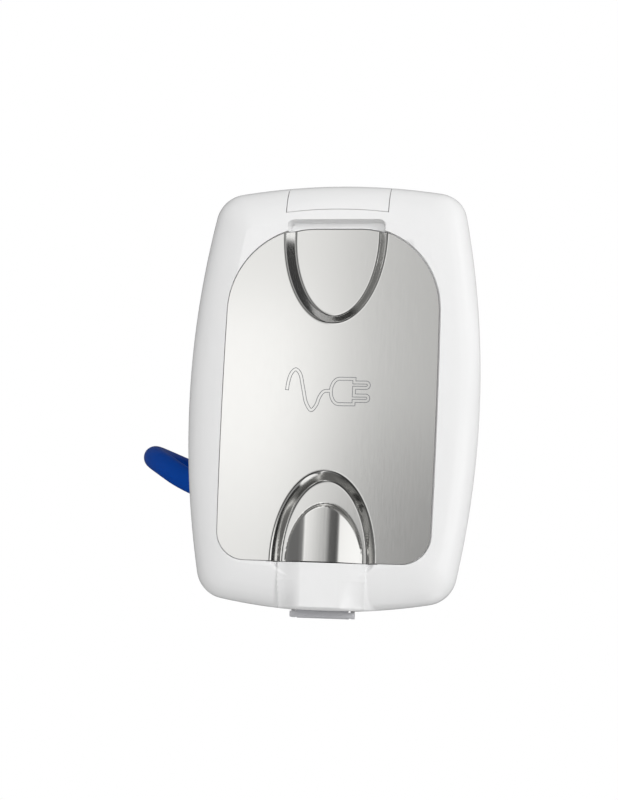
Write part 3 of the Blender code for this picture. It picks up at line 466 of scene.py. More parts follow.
# Where the lid and the plate have recesses, and where the lid's mesh is finer
ZONE_MARGIN = 0.006
ZONE_START = 0.028
ZONE_HALF_WIDTH = 0.03
FINE_LOW = -0.0725
FINE_HIGH = (0.0735, 0.0830)
FINE_HALF_WIDTH = 0.027
TUNNEL_WALL = 0.0022
TUNNEL_REAR = 0.001
TUNNEL_ROUNDING = 1.25
FLAP_Y = -0.0048
FLAP_Z = -0.0988
FLAP_HALF_WIDTH = 0.0147
FLAP_INNER = 0.0118
LUG_PLACES = (-0.0143, 0.0127)
LUG_WIDTH = 0.0016
HINGE_Y = -0.0070
HINGE_Z = 0.0910
HINGE_PLACE = (HINGE_Y, HINGE_Z)
KNUCKLE_HALF_WIDTH = 0.0235
KNUCKLE_RADIUS = 0.0090
KNUCKLE_WAIST = 0.0012
KNUCKLE_GAP = 0.00035
HINGE_PIN_RADIUS = 0.00145
GAP = 0.0003
AHEAD = -0.020
ABOVE_LID = 0.102
LID_WALL = 0.0026
CAVITY_TOP = 0.0800
CAVITY_LEVELS = ((0.0, 0.0), (0.0, -0.0070), (0.0060, -0.0090))
PAD_LEVELS = ((0.0025, AHEAD), (0.0010, -0.0052))
SHARP_ANGLE = math.radians(32)


def add_object(name, shape):
    """Turns a bmesh, in coordinates from the lid's centre, into an object in the part's frame."""
    bmesh.ops.remove_doubles(shape, verts=shape.verts, dist=1e-7)
    bmesh.ops.recalc_face_normals(shape, faces=shape.faces)
    bmesh.ops.translate(shape, verts=shape.verts, vec=CENTRE)
    return mesh_object(name, shape)


def take_shape(piece):
    """Turns such an object back into a bmesh, and removes it."""
    shape = bmesh.new()
    shape.from_mesh(piece.data)
    bmesh.ops.translate(shape, verts=shape.verts, vec=-CENTRE)
    bpy.data.objects.remove(piece, do_unlink=True)
    return shape


def carve(target, steps):
    """Applies Boolean steps, each (operation, bmesh), and keeps the result as the piece's mesh."""
    tools = []
    for number, (operation, shape) in enumerate(steps):
        tool = add_object(f"tool_{number}", shape)
        step = target.modifiers.new(f"step_{number}", "BOOLEAN")
        step.operation = operation
        step.solver = "MANIFOLD"
        step.object = tool
        tools.append(tool)
    graph = bpy.context.evaluated_depsgraph_get()
    graph.update()
    made = bpy.data.meshes.new_from_object(target.evaluated_get(graph))
    target.modifiers.clear()
    old = target.data
    target.data = made
    made.name = target.name
    bpy.data.meshes.remove(old)
    for tool in tools:
        mesh = tool.data
        bpy.data.objects.remove(tool, do_unlink=True)
        bpy.data.meshes.remove(mesh)


def show(piece, body, slot_name, *nodes):
    """Finishes a piece: shading, material, body and the nodes it stands for."""
    piece.data.shade_smooth()
    piece.data.set_sharp_from_angle(angle=SHARP_ANGLE)
    dress(piece, slot_name)
    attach(piece, body)
    if nodes:
        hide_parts(*nodes)


def prism(profile, x_low, x_high):
    return loft([[(x, y, z) for y, z in profile] for x in (x_low, x_high)])


def block(low, high):
    (x0, y0, z0), (x1, y1, z1) = low, high
    return loft([[(x, y0, z0), (x, y1, z0), (x, y1, z1), (x, y0, z1)] for x in (x0, x1)])


def rod(start, end, radius, steps=32):
    start, end = Vector(start), Vector(end)
    turn = (end - start).to_track_quat("Z", "Y").to_matrix()
    ring = [turn @ Vector((x, y, 0)) for x, y in circle(radius, steps)]
    return loft([[middle + point for point in ring] for middle in (start, end)])


def arc(centre, radius, start, end, steps):
    points = []
    for i in range(steps + 1):
        angle = math.radians(start + (end - start) * i / steps)
        points.append((centre[0] + radius * math.cos(angle), centre[1] + radius * math.sin(angle)))
    return points


def at_depth(outline, y):
    return [(x, y, z) for x, z in outline]


def between(start, end, count):
    """Even steps from start to end, without the two ends."""
    return [start + (end - start) * i / count for i in range(1, count)]


def barrel(half, bow, top, top_bow, bottom, bottom_bow, top_corner, bottom_corner, fine=4):
    """Outline with bowed sides: (x, z) points, anticlockwise from the lower right."""

    def side(z):
        return half - bow * ((z - LID_MIDDLE) / BOW_SPAN) ** 2

    def side_angle(z):
        return math.atan(2 * bow * (z - LID_MIDDLE) / BOW_SPAN ** 2)

    def corner(level, level_bow, radius, sign):
        x, z = half - radius, level - sign * radius
        for _ in range(20):
            tilt = side_angle(z)
            lean = math.atan(2 * level_bow * x / LID_HALF_WIDTH ** 2)
            end_x = x + radius * math.sin(lean)
            x = side(z + radius * math.sin(tilt)) - radius * math.cos(tilt)
            edge = level - sign * level_bow * (end_x / LID_HALF_WIDTH) ** 2
            z = edge - sign * radius * math.cos(lean)
        return x, z, math.degrees(tilt), math.degrees(lean)

    x_high, z_high, tilt_high, lean_high = corner(top, top_bow, top_corner, 1)
    x_low, z_low, tilt_low, lean_low = corner(bottom, bottom_bow, bottom_corner, -1)
    upper = arc((x_high, z_high), top_corner, tilt_high, 90 - lean_high, 6 * fine)
    lower = arc((x_low, z_low), bottom_corner, lean_low - 90, tilt_low, 6 * fine)
    heights = between(lower[-1][1], upper[0][1], 8 * fine)
    right = [(side(z), z) for z in heights]
    places = between(upper[-1][0], -upper[-1][0], 20 * fine)
    crown = [(x, top - top_bow * (x / LID_HALF_WIDTH) ** 2) for x in places]
    places = between(-lower[0][0], lower[0][0], 20 * fine)
    foot = [(x, bottom + bottom_bow * (x / LID_HALF_WIDTH) ** 2) for x in places]
    flank = lower + right + upper
    return flank + crown + [(-x, z) for x, z in reversed(flank)] + foot


def lid_outline(inset, fine=4):
    corner = max(LID_CORNER - 0.55 * inset, 0.001)
    return barrel(
        LID_HALF_WIDTH - inset, LID_SIDE_BOW, LID_TOP - inset, LID_TOP_BOW,
        LID_BOTTOM + inset, LID_BOTTOM_BOW, corner, corner, fine,
    )


def plate_outline(grow=0.0):
    return barrel(
        PLATE_HALF_WIDTH + grow, PLATE_SIDE_BOW, PLATE_TOP + grow, 0.0,
        PLATE_BOTTOM - grow, 0.0, PLATE_TOP_CORNER + grow, PLATE_BOTTOM_CORNER + grow,
    )


def ease(share):
    share = min(1.0, max(0.0, share))
    return share * share * (3 - 2 * share)


def soft_min(a, b, reach):
    """The smaller of two numbers, rounded where they meet."""
    blend = max(0.0, min(1.0, 0.5 + 0.5 * (b - a) / reach))
    return b * (1 - blend) + a * blend - reach * blend * (1 - blend)


def ellipse_inside(x, z, half, rise):
    """Distance inside the edge of an ellipse, negative outside."""
    u, v = x / half, z / rise
    level = math.hypot(u, v)
    if level < 1e-6:
        return min(half, rise)
    slope = math.hypot(u / half, v / rise) / level
    return (1 - level) / slope


def arch_inside(x, z):
    rise = ARCH_TOP - ARCH_BASE if z >= ARCH_BASE else ARCH_BASE - ARCH_END
    return ellipse_inside(x, z - ARCH_BASE, ARCH_HALF_WIDTH, rise)


def recess_share(inside, wall=RECESS_WALL):
    """How far down the pressed wall a point is, 0 on the plate and 1 on the floor, with small fillets."""
    share = (inside + RECESS_LIP) / (wall + RECESS_LIP)
    share = soft_min(share, 1.0, RECESS_FILLET)
    return -soft_min(-share, 0.0, RECESS_FILLET)


def hump_size(z):
    """Half width and height above the recess floor at height z."""
    rise = max(0.0, min(1.0, (z - ARCH_BASE) / (HUMP_TOP - ARCH_BASE)))
    half = HUMP_HALF_WIDTH * math.sqrt(max(0.0, 1 - rise ** 2))
    crest = max(0.0, (rise - CREST_START) / (1 - CREST_START))
    height = HUMP_HEIGHT * math.sqrt(max(0.0, 1 - crest ** 2))
    if z < ARCH_BASE:
        share = (z - ARCH_BASE) / (BOSS_END - ARCH_BASE)
        half = HUMP_HALF_WIDTH + (BOSS_END_HALF_WIDTH - HUMP_HALF_WIDTH) * share
    return half, height


def crown_drop(x):
    """How far the hump's front lies behind its highest line, from the slopes of its facets."""
    drop = 0.0
    for (start, low), (end, high) in zip(CROWN_SLOPES, CROWN_SLOPES[1:]):
        for step in range(FACET_STEPS):
            left = start + (end - start) * step / FACET_STEPS
            right = start + (end - start) * (step + 1) / FACET_STEPS
            slope = math.tan(math.radians(low + (high - low) * (step + 0.5) / FACET_STEPS))
            if x > 0:
                drop += slope * max(0.0, min(x, right) - max(0.0, left))
            else:
                drop -= slope * max(0.0, min(0.0, right) - max(x, left))
    return drop


def hump_front(x, z):
    """Front surface of the pressed hump: facets across it and a steep shoulder round its outline."""
    inside = ellipse_inside(x, z - ARCH_BASE, HUMP_HALF_WIDTH, HUMP_TOP - ARCH_BASE)
    if inside <= 0:
        return RECESS_FLOOR - inside * 2
    side = HUMP_HEIGHT * math.sin(min(1.0, inside / HUMP_SHOULDER) * math.pi / 2)
    return RECESS_FLOOR - soft_min(side, HUMP_HEIGHT - crown_drop(x), HUMP_BLEND)


def hump_ring(z):
    """Section of the tunnel inside the hump and boss."""
    half, height = hump_size(z)
    half = max(half - TUNNEL_WALL, 0.0004)
    height = max(height - TUNNEL_WALL, 0.0002)
    crown = HUMP_CROWN
    if z < ARCH_BASE:
        crown += (BOSS_CROWN - HUMP_CROWN) * min(1.0, (ARCH_BASE - z) / BOSS_CHANGE)
    side = []
    for step in range(13):
        share = step / 12
        x = half * (crown + (1 - crown) * share)
        side.append((x, RECESS_FLOOR - height * (1 - share ** TUNNEL_ROUNDING), z))
    ring = [(half, TUNNEL_REAR, z)] + side[::-1]
    ring += [(-x, y, z) for x, y, z in side]
    ring.append((-half, TUNNEL_REAR, z))
    return ring


def hinge_side(grow, x_half, front, rear):
    """Block below and in front of the hinge axis, slimmer in its middle, or the notch around it."""
    rings = []
    for step in range(-10, 11):
        x = x_half * step / 10
        radius = KNUCKLE_RADIUS + grow - KNUCKLE_WAIST * (1 - (step / 10) ** 2)
        ratio = (rear - HINGE_Y) / radius
        reach = math.degrees(math.acos(ratio)) if ratio < 1 else 0
        profile = [(front, ABOVE_LID), (front, HINGE_Z)]
        profile += arc((HINGE_Y, HINGE_Z), radius, 180, 360 - reach, 40)
        profile.append((rear, ABOVE_LID))
        rings.append([(x, y, z) for y, z in profile])
    return loft(rings)


def boss_depth(x, z):
    """Front surface of the boss: flat in the middle, soft shoulders, steep at its foot."""
    end = ease((z - BOSS_END - 0.0002) / BOSS_LIP)
    down = min(1.0, max(0.0, (ARCH_END - z) / (ARCH_END - BOSS_END)))
    half = BOSS_HALF_WIDTH + (BOSS_FOOT_HALF_WIDTH - BOSS_HALF_WIDTH) * down
    shoulder = ease((abs(x) - BOSS_FLAT) / (half - BOSS_FLAT))
    depth = HUMP_FRONT + (BOSS_SHOULDER + BOSS_FALL * down) * shoulder
    depth += (BOSS_FOOT_SLOPE - BOSS_FOOT_EASING * down) * max(0.0, abs(x) - half)
    return depth + (1 - math.sqrt(end)) * BOSS_LIP_DEPTH


def lid_front(x, z, y):
    """Depth of the lid's front surface: border, recesses and boss."""
    if z > PLATE_TOP - ZONE_MARGIN and abs(x) < ZONE_HALF_WIDTH and y < RECESS_FLOOR:
        across = TOP_END_HALF_WIDTH - abs(x)
        below = U_TOP - z
        inside = min(across, below)
        if max(across, below) < TOP_END_CORNER:
            inside = TOP_END_CORNER - math.hypot(TOP_END_CORNER - across, TOP_END_CORNER - below)
        y += (RECESS_FLOOR - y) * recess_share(inside, TOP_WALL)
    if z < PLATE_BOTTOM + ZONE_MARGIN and abs(x) < ZONE_HALF_WIDTH:
        if y < RECESS_FLOOR:
            y += (RECESS_FLOOR - y) * recess_share(arch_inside(x, z))
        below = ease((ARCH_END + 0.002 - z) / BOSS_CHANGE)
        y = soft_min(y, boss_depth(x, z), BOSS_BLEND + BOSS_FOOT_BLEND * below)
    return y


def lid_form(dressed=True):
    """Closed solid behind the lid's front surface, with its rear face at the lid's rear edge."""
    dense = smooth_points([(inset, y, 0.0) for inset, y in LID_PROFILE], 10)
    levels = [(point.x, min(LID_REAR, max(LID_FRONT, point.y))) for point in dense]
    levels += [(LID_PROFILE[-1][0] + 0.0008 * step, LID_FRONT) for step in range(1, 10)]
    shape = loft([at_depth(lid_outline(inset), y) for inset, y in levels])
    if not dressed:
        return shape
    edges = {}
    for face in shape.faces:
        middle = face.calc_center_median()
        zone = middle.z < FINE_LOW or FINE_HIGH[0] < middle.z < FINE_HIGH[1]
        if len(face.verts) == 4 and zone and abs(middle.x) < FINE_HALF_WIDTH:
            edges.update(dict.fromkeys(face.edges))
    bmesh.ops.subdivide_edges(shape, edges=list(edges), cuts=1, use_grid_fill=True)
    rear = LID_REAR - 1e-6
    for vert in shape.verts:
        if vert.co.y < rear:
            vert.co.y = lid_front(vert.co.x, vert.co.z, vert.co.y)
    return shape


def cavity_outline(inset):
    return [(x, min(z, CAVITY_TOP - inset)) for x, z in lid_outline(LID_WALL + inset, 2)]


def u_outline(grow, top):
    """Outline behind the U recess, with its upper edge along the plate's rounded corners."""
    half = U_HALF_WIDTH + grow
    drop = U_SHOULDER - U_TIP + grow
    points = []
    for i in range(13):
        x = half * (1 - i / 6)
        beside = max(0.0, abs(x) - PLATE_HALF_WIDTH + PLATE_TOP_CORNER)
        points.append((x, top - PLATE_TOP_CORNER + math.sqrt(PLATE_TOP_CORNER ** 2 - beside ** 2)))
    level = min(U_SHOULDER, top - 0.004)
    return points + [(half * x, level + drop * z) for x, z in arc((0, 0), 1.0, 180, 360, 32)]


def arch_cut_outline(grow, low):
    half = ARCH_HALF_WIDTH + grow
    rise = ARCH_TOP - ARCH_BASE + grow
    crown = [(half * x, ARCH_BASE + rise * z) for x, z in arc((0, 0), 1.0, 0, 180, 32)]
    return [(-half, low), (half, low)] + crown


def pocket(outline, edge, clearance):
    """Room in the lid behind a pressed recess of the plate."""
    levels = (
        (0.0, AHEAD), (0.0, -0.0118), (-0.0007, -0.0108), (-RECESS_WALL, RECESS_FLOOR + clearance),
    )
    return loft([at_depth(outline(clearance + grow, edge), y) for grow, y in levels])


def boss_tunnel():
    levels = [HUMP_TOP - 0.0026 - 0.0032 * step for step in range(9)]
    levels += [ARCH_BASE, -0.085, -0.094, BOSS_END - 0.002]
    return loft([hump_ring(z) for z in levels])


def cross_rod(half, place, radius, steps=32):
    """Rod from side to side at one (y, z) place."""
    return rod((-half, *place), (half, *place), radius, steps)


def make_lid():
    lid = add_object("lid_cover", lid_form())
    under = PLATE_THICKNESS + GAP + 0.0004
    seat_rear = PLATE_FACE + PLATE_THICKNESS + GAP
    cavity = add_object("cavity", loft([at_depth(cavity_outline(inset), y) for inset, y in CAVITY_LEVELS]))
    pads = []
    for outline, edge in ((u_outline, 0.090), (arch_cut_outline, -0.095)):
        pads.append(loft([at_depth(outline(grow, edge), y) for grow, y in PAD_LEVELS]))
    carve(cavity, [("DIFFERENCE", pad) for pad in pads])
    steps = [
        ("DIFFERENCE", loft([at_depth(plate_outline(PLATE_GAP), y) for y in (AHEAD, seat_rear)])),
        ("DIFFERENCE", pocket(u_outline, PLATE_TOP + PLATE_GAP - 0.0002, under)),
        ("DIFFERENCE", pocket(arch_cut_outline, PLATE_BOTTOM - PLATE_GAP - 0.0002, under)),
        ("DIFFERENCE", take_shape(cavity)),
        ("DIFFERENCE", boss_tunnel()),
        ("DIFFERENCE", hinge_side(KNUCKLE_GAP, KNUCKLE_HALF_WIDTH + KNUCKLE_GAP, -0.0185, 0.002)),
        ("DIFFERENCE", cross_rod(0.0328, HINGE_PLACE, HINGE_PIN_RADIUS + GAP)),
    ]
    for low in LUG_PLACES:
        start = (low, FLAP_Y - 0.0009, FLAP_Z - 0.0008)
        steps.append(("UNION", block(start, (low + LUG_WIDTH, FLAP_Y + 0.0009, BOSS_END + 0.0023))))
    steps.append(("DIFFERENCE", cross_rod(0.016, (FLAP_Y, FLAP_Z), 0.0006, 16)))
    carve(lid, steps)
    show(lid, "lid", "white_plastic", "lid_shell")


def grid_lines(low, high, zones, coarse, fine_step):
    """Even lines from low to high, closer together inside the zones."""
    lines = [low]
    while lines[-1] < high - 1e-6:
        here = lines[-1]
        inside = any(start - 1e-6 <= here < end for start, end in zones)
        step = fine_step if inside else coarse
        ahead = [start for start, end in zones if here < start < here + step]
        after = ahead[0] if ahead else here + step
        lines.append(min(after, high))
    return lines


def plate_depth(x, z):
    """Depth of the plate's front surface, with its two pressed recesses and the hump."""
    y = PLATE_FACE
    if z > ZONE_START and abs(x) < ZONE_HALF_WIDTH:
        inside = U_HALF_WIDTH - abs(x)
        if z < U_SHOULDER:
            inside = ellipse_inside(x, z - U_SHOULDER, U_HALF_WIDTH, U_SHOULDER - U_TIP)
        return y + (RECESS_FLOOR - y) * recess_share(inside)
    if z < -ZONE_START and abs(x) < ZONE_HALF_WIDTH:
        inside = ARCH_HALF_WIDTH - abs(x) if z < ARCH_BASE else arch_inside(x, z)
        y += (RECESS_FLOOR - y) * recess_share(inside)
        if z < HUMP_TOP + 0.001:
            y = soft_min(y, hump_front(x, max(z, ARCH_BASE)), HUMP_BLEND)
    return y


def make_plate():
    xs = grid_lines(-0.0510, 0.0510, [(-0.0252, 0.0252)], 0.0025, 0.00036)
    zs = grid_lines(-0.0770, 0.0780, [(-0.0770, -0.0335), (0.0300, 0.0780)], 0.0025, 0.00038)
    shape = bmesh.new()
    layers = []
    for thick in (0.0, PLATE_THICKNESS):
        layers.append([[shape.verts.new((x, plate_depth(x, z) + thick, z)) for x in xs] for z in zs])
    for rows in layers:
        for row, above in zip(rows, rows[1:]):
            for i in range(len(xs) - 1):
                shape.faces.new((row[i], row[i + 1], above[i + 1], above[i]))
    front, back = layers
    for j in range(len(zs) - 1):
        for i in (0, -1):
            shape.faces.new((front[j][i], front[j + 1][i], back[j + 1][i], back[j][i]))
    for i in range(len(xs) - 1):
        for j in (0, -1):
            shape.faces.new((front[j][i], front[j][i + 1], back[j][i + 1], back[j][i]))
    plate = add_object("steel_plate", shape)
    edge = []
    for x, z in plate_outline():
        slack = PLATE_SLACK * max(0.0, x) / PLATE_HALF_WIDTH
        drop = PLATE_DROP * max(0.0, z) / PLATE_TOP
        edge.append((x - slack, z - drop))
    carve(plate, [("INTERSECT", loft([at_depth(edge, -0.022), at_depth(edge, 0.0)]))])
    show(plate, "lid", "stainless_steel", "cover_plate")


# Generic plug symbol on the plate, in millimetres from the lid's centre
SYMBOL_WAVE = (
    (-19.4, 1.9), (-19.0, 5.2), (-17.9, 9.0), (-15.8, 11.1), (-13.6, 8.9), (-12.4, 4.4), (-11.5, 0.4),
    (-10.4, -3.9), (-8.0, -7.3), (-5.7, -5.0), (-4.4, -1.4), (-2.4, 1.2), (1.1, 1.5),
)
SYMBOL_MIDDLE = 1.3
SYMBOL_HALF_HEIGHT = 5.75
SYMBOL_LEFT = 0.8
SYMBOL_WAIST = 4.6
SYMBOL_RIGHT = 11.35
PRONG_END = 16.8
PRONG_HALF_HEIGHT = 1.2
PRONG_PLACE = 2.95
LINE_SPACING = 1.37
LINE_WIDTH = 0.30


def plug_line():
    """Closed middle line of the plug: a rounded body on the left and two prongs on the right."""
    points = []
    for x, z in arc((0, 0), 1.0, 270, 90, 24):
        across = SYMBOL_WAIST + x * (SYMBOL_WAIST - SYMBOL_LEFT)
        points.append((across, SYMBOL_MIDDLE + z * SYMBOL_HALF_HEIGHT))
    points.append((SYMBOL_RIGHT, SYMBOL_MIDDLE + SYMBOL_HALF_HEIGHT))
    for side in (1, -1):
        middle = SYMBOL_MIDDLE + side * PRONG_PLACE
        points.append((SYMBOL_RIGHT, middle + PRONG_HALF_HEIGHT))
        points += arc((PRONG_END, middle), PRONG_HALF_HEIGHT, 90, -90, 12)
        points.append((SYMBOL_RIGHT, middle - PRONG_HALF_HEIGHT))
    points.append((SYMBOL_RIGHT, SYMBOL_MIDDLE - SYMBOL_HALF_HEIGHT))
    return points


def stroke(points, width, low, high, closed=False, extend=0.0):
    """Flat band of steady width, in millimetres, along a line on the plate."""
    points = [Vector(point) for point in points]
    if not closed:
        points[0] = points[0] + (points[0] - points[1]).normalized() * extend
    count = len(points)
    rings = []
    for i, point in enumerate(points):
        ways = []
        if closed or i:
            ways.append((point - points[i - 1]).normalized())
        if closed or i < count - 1:
            ways.append((points[(i + 1) % count] - point).normalized())
        normals = [Vector((-way.y, way.x)) for way in ways]
        offset = normals[0]
        if len(normals) == 2:
            offset = (normals[0] + normals[1]) / (1 + normals[0].dot(normals[1]))
        left, right = point + offset * width / 2, point - offset * width / 2
        rings.append([
            (left.x / 1000, low, left.y / 1000), (right.x / 1000, low, right.y / 1000),
            (right.x / 1000, high, right.y / 1000), (left.x / 1000, high, left.y / 1000),
        ])
    return hoop(rings) if closed else loft(rings)


def make_symbol():
    wave = [(point.x, point.y) for point in smooth_points([(x, z, 0.0) for x, z in SYMBOL_WAVE], 8)]
    outer, inner = LINE_SPACING + LINE_WIDTH, LINE_SPACING - LINE_WIDTH
    front, rear = PLATE_FACE - 0.00003, PLATE_FACE + 0.0004
    symbol = add_object("plug_symbol", stroke(wave, outer, front, rear, extend=LINE_WIDTH))
    carve(symbol, [
        ("UNION", stroke(plug_line(), outer, front, rear, closed=True)),
        ("DIFFERENCE", stroke(wave, inner, front - 0.001, rear + 0.001)),
        ("DIFFERENCE", stroke(plug_line(), inner, front - 0.001, rear + 0.001, closed=True)),
    ])
    show(symbol, "lid", "grey_plastic")


# Wall box
FLANGE_FRONT = -0.0030
FLANGE_TOP = 0.0840
FLANGE_INSET = 0.0010
BOX_REAR = 0.0860
BOX_WALL = 0.0023
BOX_LOW = -0.065
BOX_HIGH = 0.061
POCKET_HALF_WIDTH = 0.0420
POCKET_TOP = 0.0620
POCKET_BOTTOM = -0.0660
POCKET_REAR = 0.0620
CHAMBER_HALF_WIDTH = 0.0380
SLOPE_START = (0.0160, 0.0620)
SLOPE_END = (0.0620, 0.0080)
INLET_Y = 0.0410
INLET_Z = 0.03265
INLET_RUN = math.atan2(SLOPE_START[1] - SLOPE_END[1], SLOPE_END[0] - SLOPE_START[0])
INLET_TURN = Matrix.Translation((0, INLET_Y, INLET_Z)) @ Matrix.Rotation(math.pi - INLET_RUN, 4, "X")
GLAND_PLACE = (-0.0429, 0.0620, -0.0370)
SMALL_HOLE_RADIUS = 0.0019
FLANGE_HOLE_RADIUS = 0.0021
SCREW_CIRCLE = 0.0272


def rounded_box(half, low, high, radius, y, steps=10):
    points = []
    for x, z, start in ((half - radius, high - radius, 0), (radius - half, high - radius, 90),
                        (radius - half, low + radius, 180), (half - radius, low + radius, 270)):
        points += arc((x, z), radius, start, start + 90, steps)
    return at_depth(points, y)


def ring_band(half, low, high, width, y_front, y_rear, grow):
    """Flat ring with a rounded rectangular outline."""
    rings = []
    for extra, y in ((grow, y_front), (grow, y_rear), (-width - grow, y_rear), (-width - grow, y_front)):
        rings.append(rounded_box(half + extra, low - extra, high + extra, 0.013 + extra, y))
    return hoop(rings)


def room(*levels):
    """Solid through rounded boxes, each with its half width, low, high, corner radius and depth."""
    return loft([rounded_box(*level) for level in levels])


def inlet_rod(x, y, low, high, radius, steps=32):
    """Rod along the tilted inlet's own axis."""
    return rod(INLET_TURN @ Vector((x, y, low)), INLET_TURN @ Vector((x, y, high)), radius, steps)


def make_base():
    outline = [(x, min(z, FLANGE_TOP)) for x, z in lid_outline(FLANGE_INSET)]
    inner = [(x * 0.9955, z * 0.997) for x, z in outline]
    base = add_object("wall_box", loft([
        at_depth(inner, FLANGE_FRONT), at_depth(outline, FLANGE_FRONT + 0.0003), at_depth(outline, 0.0),
    ]))
    side = (
        (BOX_WALL, 0.012, FLANGE_FRONT / 2), (BOX_WALL, 0.012, 0.0), (0.0, 0.009, BOX_REAR - 0.0006),
        (-0.0005, 0.0085, BOX_REAR),
    )
    box = []
    for wall, radius, y in side:
        share = wall / BOX_WALL
        low = BOX_LOW + (POCKET_BOTTOM - BOX_LOW - BOX_WALL) * share
        high = BOX_HIGH + (POCKET_TOP - BOX_HIGH + BOX_WALL) * share
        box.append(rounded_box(POCKET_HALF_WIDTH + wall, low, high, radius, y))
    knuckle = add_object("knuckle", lid_form(dressed=False))
    carve(knuckle, [("INTERSECT", hinge_side(0.0, KNUCKLE_HALF_WIDTH, -0.0160, 0.0))])
    steps = [
        ("UNION", loft(box)),
        ("DIFFERENCE", room(
            (POCKET_HALF_WIDTH, POCKET_BOTTOM, POCKET_TOP, 0.010, -0.006),
            (POCKET_HALF_WIDTH - 0.0004, POCKET_BOTTOM, POCKET_TOP, 0.010, SLOPE_START[0]),
            (POCKET_HALF_WIDTH - 0.0008, -0.064, 0.0456, 0.010, 0.030),
            (POCKET_HALF_WIDTH - 0.0018, 0.0, SLOPE_END[1], 0.003, POCKET_REAR),
        )),
        ("DIFFERENCE", room(
            (CHAMBER_HALF_WIDTH, -0.059, 0.055, 0.014, 0.0646),
            (CHAMBER_HALF_WIDTH, -0.059, 0.055, 0.014, BOX_REAR + 0.004),
        )),
        ("DIFFERENCE", room(
            (CHAMBER_HALF_WIDTH - 0.001, 0.0485, 0.0545, 0.002, 0.0310),
            (CHAMBER_HALF_WIDTH - 0.001, 0.0090, 0.0545, 0.002, 0.0655),
        )),
        ("DIFFERENCE", room(
            (CHAMBER_HALF_WIDTH - 0.001, -0.0585, -0.0480, 0.002, 0.0410),
            (CHAMBER_HALF_WIDTH - 0.001, -0.0585, -0.0005, 0.002, 0.0655),
        )),
        ("UNION", take_shape(knuckle)),
        ("DIFFERENCE", cross_rod(0.0255, HINGE_PLACE, HINGE_PIN_RADIUS + GAP)),
        ("DIFFERENCE", cross_rod(0.0095, HINGE_PLACE, 0.0029)),
        ("DIFFERENCE", block((-0.0090, -0.0090, 0.0800), (0.0090, -0.0048, HINGE_Z))),
        ("DIFFERENCE", inlet_rod(0, 0, -0.010, 0.012, 0.0174, 48)),
        ("DIFFERENCE", rod((-0.030, *GLAND_PLACE[1:]), (-0.060, *GLAND_PLACE[1:]), 0.0083, 40)),
        ("DIFFERENCE", ring_band(0.0500, -0.0755, 0.0735, 0.0030, -0.0016, 0.002, GAP)),
        ("DIFFERENCE", block((-0.0120, -0.0100, -0.1000), (0.0120, -0.0012, -0.0640))),
    ]
    for x in (-0.0533, 0.0533):
        for z in (0.0700, -0.0740):
            steps.append(("DIFFERENCE", rod((x, -0.01, z), (x, 0.01, z), FLANGE_HOLE_RADIUS, 24)))
    for x in (-0.0372, 0.0372):
        for z in (-0.0582, 0.0542):
            steps.append(("DIFFERENCE", rod((x, 0.078, z), (x, 0.095, z), SMALL_HOLE_RADIUS, 20)))
    for number in range(4):
        angle = math.radians(45 + 90 * number)
        x, y = SCREW_CIRCLE * math.cos(angle), SCREW_CIRCLE * math.sin(angle)
        steps.append(("DIFFERENCE", inlet_rod(x, y, -0.009, 0.008, SMALL_HOLE_RADIUS, 20)))
    carve(base, steps)
    show(base, "base", "white_plastic", "base_frame")


# Bare cores and strap
WIRE_RADIUS = 0.0016
WIRE_CIRCLE = 0.0027
WIRE_LENGTH = 0.0200
STRAP_X = -0.0340
STRAP_WIDTH = 0.0048
STRAP_THICKNESS = 0.0012
STRAP_STEPS = 96
BAR_PLACES = ((0.0931, 0.0368), (0.0931, 0.0392))
BAR_RADIUS = 0.0014


def make_wires():
    """Three cores out of the cut sheath, each with a crimped tube on its end."""
    top = lead_path[-1] - CENTRE
    for number, (name, slot_name) in enumerate((
        ("live", "brown_core"), ("neutral", "blue_core"), ("earth", "green_core"),
    )):
        angle = math.radians(90 + 120 * number)
        away = Vector((math.cos(angle), 0, 0)) + COIL_AXIS * math.sin(angle)
        points = []
        for i in range(17):
            share = i / 16
            spread = WIRE_CIRCLE * (1 + 0.45 * ease(share))
            points.append(top + away * spread + COIL_UP * (WIRE_LENGTH * share - 0.0006))
        points = [point + CENTRE for point in points]
        wire = sweep_tube(name + "_wire", points, circle(WIRE_RADIUS, 20))
        end, before = points[-1] - CENTRE, points[-2] - CENTRE
        way = (end - before).normalized()
        carve(wire, [
            ("UNION", rod(end - way * 0.0006, end + way * 0.0004, 0.00185, 24)),
            ("UNION", rod(end, end + way * 0.0042, 0.0011, 20)),
        ])
        show(wire, "base", slot_name, name + "_core")


def hull(points):
    """Convex outline, anticlockwise, of points in a plane."""
    points = sorted(set(points))
    halves = []
    for order in (points, points[::-1]):
        chain = []
        for point in order:
            while len(chain) > 1 and ((chain[-1][0] - chain[-2][0]) * (point[1] - chain[-2][1])
                                      <= (chain[-1][1] - chain[-2][1]) * (point[0] - chain[-2][0])):
                chain.pop()
            chain.append(point)
        halves.append(chain[:-1])
    return halves[0] + halves[1]


